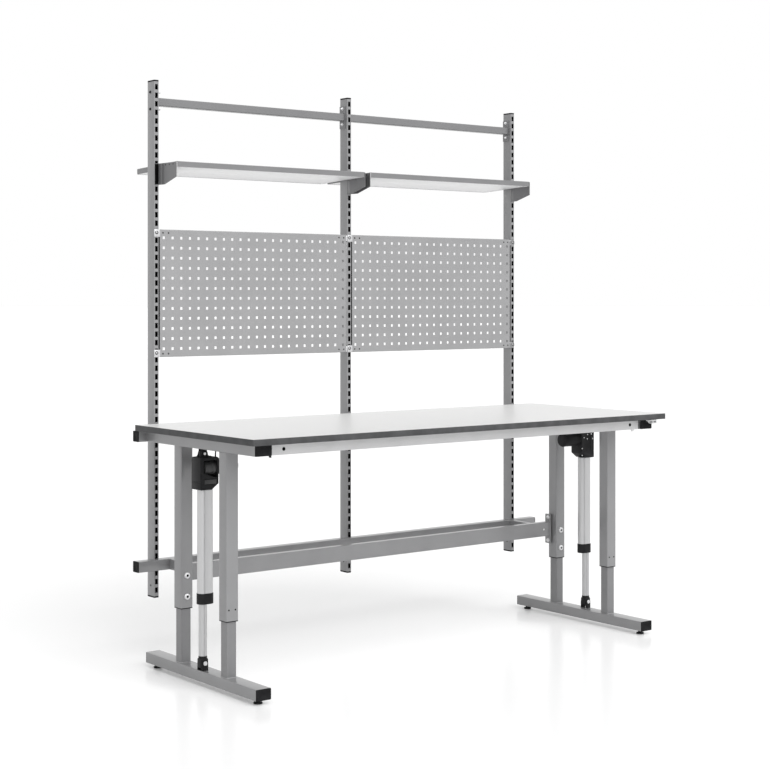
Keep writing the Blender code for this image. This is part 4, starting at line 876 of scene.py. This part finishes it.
def sheet_piece(name, bm, look, place, turn, thickness, node):
    """A folded sheet with its wall added behind it, its face turned away from its folds."""
    bm.normal_update()
    inside = Vector((0.0, 0.08, 0.0))
    for face in bm.faces:
        if face.normal.dot(face.calc_center_median() - inside) < 0:
            face.normal_flip()
    material, slot = look
    mesh = new_mesh(name, bm, material)
    smooth(mesh, 40.0)
    made = new_object(name, mesh, place, turn)
    given(made.modifiers.new("wall", "SOLIDIFY"), thickness=thickness, offset=-1.0,
          use_even_offset=True)
    evaluated = made.evaluated_get(bpy.context.evaluated_depsgraph_get())
    solid = bpy.data.meshes.new_from_object(evaluated)
    smooth(solid, 40.0)
    made.modifiers.clear()
    made.data = solid
    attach(made, FRAME)
    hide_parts(node)


def panels():
    """The panels with their corner holes and side gaps in painted shade, their clips and tongues.
    """
    def middles(count):
        return [(at - (count - 1) / 2) * HOLE_PITCH for at in range(count)]

    holes = [(x, z) for z in middles(HOLE_ROWS) for x in middles(HOLE_COLUMNS)]
    for name, x in BAYS:
        tray = tray_mesh(PANEL_WIDTH, PANEL_HEIGHT, PANEL_FOLD, holes)
        sheet_piece(f"{name}_perforated_panel", tray, PANEL, (x, POST_FRONT, PANEL_Z),
                    (0.0, 0.0, 0.0), 0.0015, f"{name}_tool_panel")
        for label, side in SIDES:
            panel_side(name, label, side, x + side * PANEL_WIDTH / 2)


def panel_side(name, label, side, edge):
    """What sits along one side of a panel; at the seam the right panel's clips hold both."""
    title, seam = f"{name}_panel_{label}", name == "left" and side > 0
    strip_half = 0.211
    for level, sign in (("lower", -1), ("upper", 1)):
        corner = PANEL_Z + sign * (PANEL_HEIGHT / 2 - 0.0126)
        for at, inset in (("outer", 0.013), ("inner", 0.037)):
            dimple(f"{title}_{level}_{at}_hole", 0.0062, (edge - side * inset, POST_FRONT, corner))
        z = PANEL_Z + sign * CLIP_Z
        piece(f"{title}_{level}_tongue", soft_block(0.0052, 0.0014, 0.0004, -0.012, 0.012,
                                                    0.0003, 3),
              PLATED, (edge + side * 0.0024, POST_FRONT + 0.0012, z))
        if seam:
            continue
        radius, look = (0.0118, GREY) if side > 0 else (0.0022, CLIP)
        plate = soft_block(0.025, 0.028, radius, 0.0, 0.0016, 0.0004, 4)
        piece(f"{title}_{level}_clip", plate, look,
              (edge + side * 0.0125, POST_FRONT - GAP, z), "-Y")
        # A near-black disc round each clip screw: painted shade
        ring = turned(((0.0, 0.0), (0.0066, 0.0), (0.0066, 0.0004), (0.0, 0.0004)), 24)
        at = (edge + side * 0.015, POST_FRONT - GAP - 0.0015, z + 0.002)
        piece(f"{title}_{level}_clip_screw_shade", ring, PAINTED_SHADE, at, "-Y")
        screw(f"{title}_{level}_clip_screw", 0.0076, 0.002, 0.004, at)
    if seam:
        flange = soft_block(0.0042, 0.0016, 0.0004, -strip_half, strip_half, 0.0003, 3)
        piece(f"{name}_panel_edge_flange", flange, PANEL,
              (edge + 0.0023, POST_FRONT + 0.001, PANEL_Z))
    # A near-black strip in each panel's left side gap: painted shadow
    if side < 0:
        strip = soft_block(0.004, 0.011, 0.0008, -strip_half, strip_half, 0.0005, 3)
        piece(f"{name}_panel_gap_painted_shadow", strip, PAINTED_SHADE,
              (edge + side * 0.0026, POST_FRONT + 0.0082, PANEL_Z))


def shelves():
    """Shelf trays with grey lips, each filled with a pale board."""
    width, depth, front, z = 0.872, 0.3, 0.1949, 1.877
    back, drop = depth / 2 * math.cos(SHELF_TILT), depth / 2 * math.sin(SHELF_TILT)
    for name, x in BAYS:
        place = (x, front + back, z - drop)
        sheet_piece(f"{name}_shelf_tray", tray_mesh(width, depth, 0.021), SHELF, place,
                    (-QUARTER - SHELF_TILT, 0.0, 0.0), 0.0012, f"{name}_shelf")
        board = soft_block(width - 0.0028, depth - 0.0028, 0.001, -0.0203, -0.0014, 0.0006, 3)
        piece(f"{name}_shelf_board", board, BOARD, place, (-SHELF_TILT, 0.0, 0.0))


def bracket_details():
    """Near-black strips of painted shade on the brackets' laps, and the small holes near their top
    edges in painted shade.
    """
    top = 1.875
    for name, x, side in (("left_outer", -POST_X, 1), ("left_inner", 0.0, -1),
                          ("right_inner", 0.0, 1), ("right_outer", POST_X, -1)):
        width, across = (0.0165, 0.0004) if name.endswith("outer") else (0.0082, 0.0052)
        # Painted shade on each lap, where the bracket meets the upright below the shelf
        strip = soft_block(width, 0.076, 0.0006, 0.0, 0.0006, 0.0002, 3)
        piece(f"{name}_bracket_lap_shade_strip", strip, PAINTED_SHADE,
              (x + side * across, POST_FRONT - 0.0023, top - 0.04), "-Y")
        for at, back in (("rear", 0.047), ("middle", 0.075), ("front", 0.102)):
            for plane, offset, turn in (("outer", 0.0117, outward(-side)),
                                        ("inner", 0.0139, outward(side))):
                dimple(f"{name}_bracket_{at}_{plane}_hole", 0.0052,
                       (x + side * offset, POST_FRONT - back, top - 0.0075), turn)


# Lifting drives
HEAD_X, HEAD_Y, HEAD_LOW, HEAD_HEIGHT = 0.9345, -0.08374, 0.6937, 0.115
HEAD_TOP = HEAD_LOW + HEAD_HEIGHT
TOP_PIN_Z, LOWER_PIN_Z = 0.8212, 0.0815
HOUSING_SCREWS = (
    (-0.0215, 0.0859), (-0.0026, 0.0802), (0.0295, 0.0794), (-0.0008, 0.0983),
    (0.0212, 0.0997), (-0.0327, 0.0401), (-0.0327, 0.0114),
)


def head_form():
    """The gear housing, its motor side towards +X and its window towards -Y."""
    half, radius = 0.0375, 0.006
    high = HEAD_HEIGHT - radius
    points = [(0.003 - half, 0.0), (half - 0.028, 0.0), (half, 0.021),
              *arc((half - radius, high), radius, 0, 1, 4),
              *arc((radius - half, high), radius, 1, 1, 4), (-half, 0.003)]
    window = ((-0.024, 0.1035), (-0.024, 0.06), (-0.014, 0.0565), (0.024, 0.0425),
              (0.032, 0.0425), (0.032, 0.1035))
    pocket = box_form((-0.0216, -0.04, 0.0187), (0.0308, -0.027, 0.037))
    groove = box_form((-0.05, -0.031, 0.027), (-0.0363, 0.031, 0.0284))
    back = box_form((-0.026, 0.0288, 0.012), (-0.025, 0.0312, 0.104))
    shallow = box_form((-0.017, 0.0286, 0.03), (0.03, 0.032, 0.098))
    cutters = [prism(window, -0.04, -0.002), pocket, groove, back, shallow]
    return combined(prism(points, -0.03, 0.03), cutters, 0.0009)


def barrel_form():
    """The round neck that carries the motor, seen through the housing's window."""
    profile = ((0.0, -0.0125), (0.0238, -0.0125), (0.025, -0.0112), (0.025, 0.017),
               (0.0272, 0.019), (0.0272, 0.0235), (0.0262, 0.024), (0.0262, 0.032), (0.0, 0.032))
    return moved(stand_up(turned(profile, 72), "Y"), (0.0, 0.0, 0.074))


def motor_form():
    """A motor can with a step, cooling grooves and a domed end, its length along +Z."""
    radius, step, nose, length = 0.028, 0.0007, 0.008, 0.08
    profile = [(0.0, 0.0), (radius, 0.0), (radius, 0.01)]
    for start in (0.012, 0.017):
        profile += [(radius - step, start), (radius - step, start + 0.0022),
                    (radius, start + 0.0028)]
    profile += [(radius, 0.058), (radius - 0.0005, 0.0585), (radius - 0.0005, 0.06),
                (radius, 0.0605), *arc((radius - nose, length), nose, 0, 1, 7),
                (0.01, 0.088), (0.0095, 0.0874), (0.0, 0.0874)]
    return turned(profile, 64)


def drives():
    """The two lifting drives: head, motor, lug and pin, tube with collar, rod and eye."""
    for name, side in SIDES:
        cover = moved(soft_block(0.0496, 0.0155, 0.0012, 0.0, 0.0018, 0.0005, 4),
                      (0.0054, 0.0278, 0.0272))
        turn = (0.0, 0.0, math.pi) if side > 0 else "Z"
        for title, form, look, node in (
            (f"{name}_drive_head", head_form(), MOULDED, f"{name}_actuator_head"),
            (f"{name}_motor_neck", barrel_form(), SATIN, None),
            (f"{name}_head_cover", stand_up(cover), SATIN, None),
        ):
            piece(title, form, look, (side * HEAD_X, HEAD_Y, HEAD_LOW), turn, node, sharp=30.0)
        piece(f"{name}_motor_can", motor_form(), MOULDED,
              (side * (HEAD_X - 0.0373), HEAD_Y, HEAD_LOW + 0.0783), outward(-side))
        head_lug(name, side * ROD_X)
        gland = stud(0.0052, 0.0035, 0.004, 0.0048, 24, -0.002)
        piece(f"{name}_head_gland", gland, MOULDED,
              (side * (HEAD_X - 0.006), HEAD_Y - 0.02, HEAD_TOP))
        for index, (across, z) in enumerate(HOUSING_SCREWS):
            piece(f"{name}_housing_screw_{index + 1}", stud(0.0026, 0.0008, 0.0017, 0.0014, 20),
                  PLATED, (side * (HEAD_X + across), HEAD_Y - side * 0.03, HEAD_LOW + z),
                  "-Y" if side > 0 else "Y")
        drive_tube(name, side * ROD_X)
        rod(name, side * ROD_X)


def head_lug(name, x):
    """The lug on top of a head between its cheeks, and the pin that holds it in the ears."""
    base = (x, ROD_Y, HEAD_TOP)
    lug = soft_block(0.028, 0.012, 0.003, -0.004, 0.0213, 0.0015)
    piece(f"{name}_head_lug", lug, MOULDED, base)
    cheek = [(0.019, -0.0004), (0.019, 0.003), (0.015, 0.008),
             *arc((0.0, 0.0125), 0.0135, 0, 2, 12),
             (-0.015, 0.008), (-0.019, 0.003), (-0.019, -0.0004)]
    for at, near, far in (("front", 0.0095, 0.0122), ("rear", -0.0122, -0.0095)):
        form = stand_up(slab(cheek, near, far, 0.0005))
        piece(f"{name}_lug_{at}_cheek", form, MOULDED, base)
    front = ROD_Y - 0.0121
    for title, form, look, y, turn in (
        ("top_pin_head", stud(0.0078, 0.001, 0.0072, 0.0016, 32), MOULDED, front, "-Y"),
        ("top_pin", stud(0.0052, 0.0009, 0.0044, 0.0015, 28), PLATED, front - 0.0015, "-Y"),
        ("top_pin_shaft", stud(0.005, 0.0265, 0.0042, 0.0273, 28), PLATED, front + 0.0002, "Y"),
    ):
        piece(f"{name}_{title}", form, look, (x, y, TOP_PIN_Z), turn)


def drive_tube(name, rod_x):
    """The oval outer tube and its end collar, bored for the rod."""
    steps, bore_radius = 16, 0.01525
    centre, size = middle_size(f"{name}_actuator_tube")
    tube = pipe(0.058, 0.038, 0.003, 0.3279, centre.z + size.z / 2, 0.0185, steps)
    piece(f"{name}_drive_tube", tube, DRAWN, (centre.x, centre.y, 0.0), "Z",
          f"{name}_actuator_tube")
    middle = Vector((rod_x - centre.x, 0.0))
    ring = shrinking(0.062, 0.042, 0.0205, steps)
    bore = [middle + (point - middle).normalized() * bore_radius for point in ring(0.0)]
    lead_in = [middle + (point - middle) * 1.06 for point in bore]
    levels = ((0.0012, 0.2899), (0.0004, 0.2902), (0.0, 0.291), (0.0, 0.3266),
              (0.0004, 0.3274), (0.0012, 0.3277))
    rows = [raised(ring(by), z) for by, z in levels]
    rows += [raised(bore, 0.3277), raised(bore, 0.2908), raised(lead_in, 0.2899)]
    piece(f"{name}_tube_collar", shell(rows), MOULDED, (centre.x, centre.y, 0.0))


def rod(name, x):
    """The lifting rod, hollow round its spindle, its eye block and the pin through it."""
    body = f"{name}_foot"
    bore, nut, radius, ease = 0.01175, 0.0064, 0.01475, 0.0008
    profile = ((0.0, 0.1028), (bore, 0.1028), (bore, 0.4699), (nut, 0.4699), (nut, 0.4999),
               (radius - ease, 0.4999), (radius, 0.4991), (radius, 0.1006),
               (radius - ease, 0.0998), (0.0, 0.0998))
    piece(f"{name}_lifting_rod", turned(profile, 56), GROUND, (x, ROD_Y, 0.0), "Z",
          f"{name}_rod", body)
    block = stand_up(soft_block(0.0295, 0.0355, 0.006, -0.013, 0.013, 0.0012))
    piece(f"{name}_rod_end_block", block, MOULDED, (x, ROD_Y, LOWER_PIN_Z), "Z",
          f"{name}_rod_eye", body)
    sleeve = ((0.0154, 0.099), (0.0154, 0.1062), (0.015, 0.1068), (radius + GAP, 0.1068),
              (radius + GAP, 0.099))
    rows = [raised(circle(size, 48), z) for size, z in sleeve]
    piece(f"{name}_rod_sleeve", shell(rows), MOULDED, (x, ROD_Y, 0.0), body=body)
    pin = ((0.0, -0.0345), (0.0042, -0.0345), (0.005, -0.0337), (0.005, 0.0),
           (0.0078, 0.0), (0.0078, 0.0018), (0.007, 0.0029), (0.0, 0.0029))
    piece(f"{name}_lower_pin", turned(pin, 36), PLATED, (x, ROD_Y - 0.0166, LOWER_PIN_Z), "-Y",
          f"{name}_foot_pin", body)


# Control box, lead and handset
def control_box():
    """A closed box with vents at its front, a lid seam, an inlet and a row of sockets."""
    centre, size = middle_size("control_box")
    half = size.z / 2
    box = soft_block(size.x, size.y, 0.006, -half, half - 0.0005, 0.0018)
    vents = [box_form((x, -0.06, -0.008), (x + 0.004, -0.0535, 0.008))
             for x in (-0.1 + 0.012 * at for at in range(8))]
    sockets = [box_form((0.122, y, -0.009), (0.14, y + 0.016, 0.007))
               for y in (-0.04 + 0.022 * at for at in range(4))]
    inlet = box_form((0.0585, 0.05, -0.0105), (0.0855, 0.06, 0.0095))
    seam = box_form((-0.14, -0.06, 0.0105), (0.14, -0.0543, 0.0115))
    piece("control_housing", combined(box, [*vents, *sockets, inlet, seam]), MOULDED,
          centre, "Z", "control_box")
    for at, x in (("left", -0.105), ("right", 0.105)):
        for row, y in (("front", -0.04), ("rear", 0.04)):
            piece(f"control_{at}_{row}_screw", stud(0.0035, 0.0006, 0.0028, 0.0012, 20), PLATED,
                  (centre.x + x, centre.y + y, centre.z - half + 0.0009), "-Z")


LEAD_DIAMETER = 0.005
LEAD_POINTS = (
    (-0.902, -0.10074, 0.8082), (-0.902, -0.10074, 0.818), (-0.9012, -0.10074, 0.827),
    (-0.896, -0.10074, 0.836), (-0.889, -0.10034, 0.844), (-0.88, -0.09774, 0.8515),
    (-0.8685, -0.09374, 0.8562), (-0.845, -0.08974, 0.856), (-0.815, -0.08674, 0.8528),
    (-0.785, -0.08374, 0.8498), (-0.7584, -0.08174, 0.8487), (-0.725, -0.07974, 0.8495),
    (-0.69, -0.07774, 0.8525), (-0.66, -0.07574, 0.8555), (-0.645, -0.07494, 0.8565),
    (-0.6303, -0.07474, 0.8567),
)


def motor_lead():
    """The left motor's lead, from the top of its head to the control box."""
    curve = given(bpy.data.curves.new("motor_lead", "CURVE"), dimensions="3D",
                  bevel_depth=LEAD_DIAMETER / 2, bevel_resolution=3, use_fill_caps=True)
    line = curve.splines.new("POLY")
    line.points.add(len(LEAD_POINTS) - 1)
    for point, place in zip(line.points, LEAD_POINTS):
        point.co = (*place, 1.0)
    material, slot = MOULDED
    curve.materials.append(material)
    made = new_object("motor_lead", curve)
    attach(made, FRAME)
    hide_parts("left_motor_lead")


# Shares of the handset's width and height along its shell's lower edge
SHELL_CURVE = (
    (0.03, 0.12), (0.22, 0.55), (0.42, 0.9), (0.52, 0.98), (0.62, 1.0), (0.8, 0.99),
    (0.92, 0.9), (0.985, 0.7), (1.0, 0.42), (0.985, 0.15), (0.95, 0.0),
)


def handset():
    """A pale curved shell on a black base, with a key for each direction."""
    low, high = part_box("handset")
    width, height = high.x - low.x, high.z - low.z
    points = [(x * width, -z * height) for x, z in SHELL_CURVE]
    cover = moved(slab(points, 0.0, 0.02, 0.0016), (0.0, 0.0, -0.02))
    piece("handset_shell", stand_up(cover), PALE, (low.x, low.y, high.z), "Z", "handset")
    base = soft_block(width * 0.8, 0.021, 0.003, -0.01, 0.0, 0.001)
    piece("handset_base", base, MOULDED, ((low.x + high.x) / 2, high.y - 0.0108, high.z))
    for name in ("down", "up"):
        centre, size = middle_size(f"{name}_button")
        cap = soft_block(size.x, size.z, 0.0022, 0.0, size.y, 0.0009)
        piece(f"{name}_key_cap", cap, KEY, (centre.x, centre.y + size.y / 2, centre.z), "-Y",
              f"{name}_button", f"{name}_key")


worktop()
side_beams()
legs()
feet()
crossbeam()
rear_rails()
front_rail()
uprights()
top_rail_bolts()
panels()
shelves()
bracket_details()
drives()
control_box()
motor_lead()
handset()
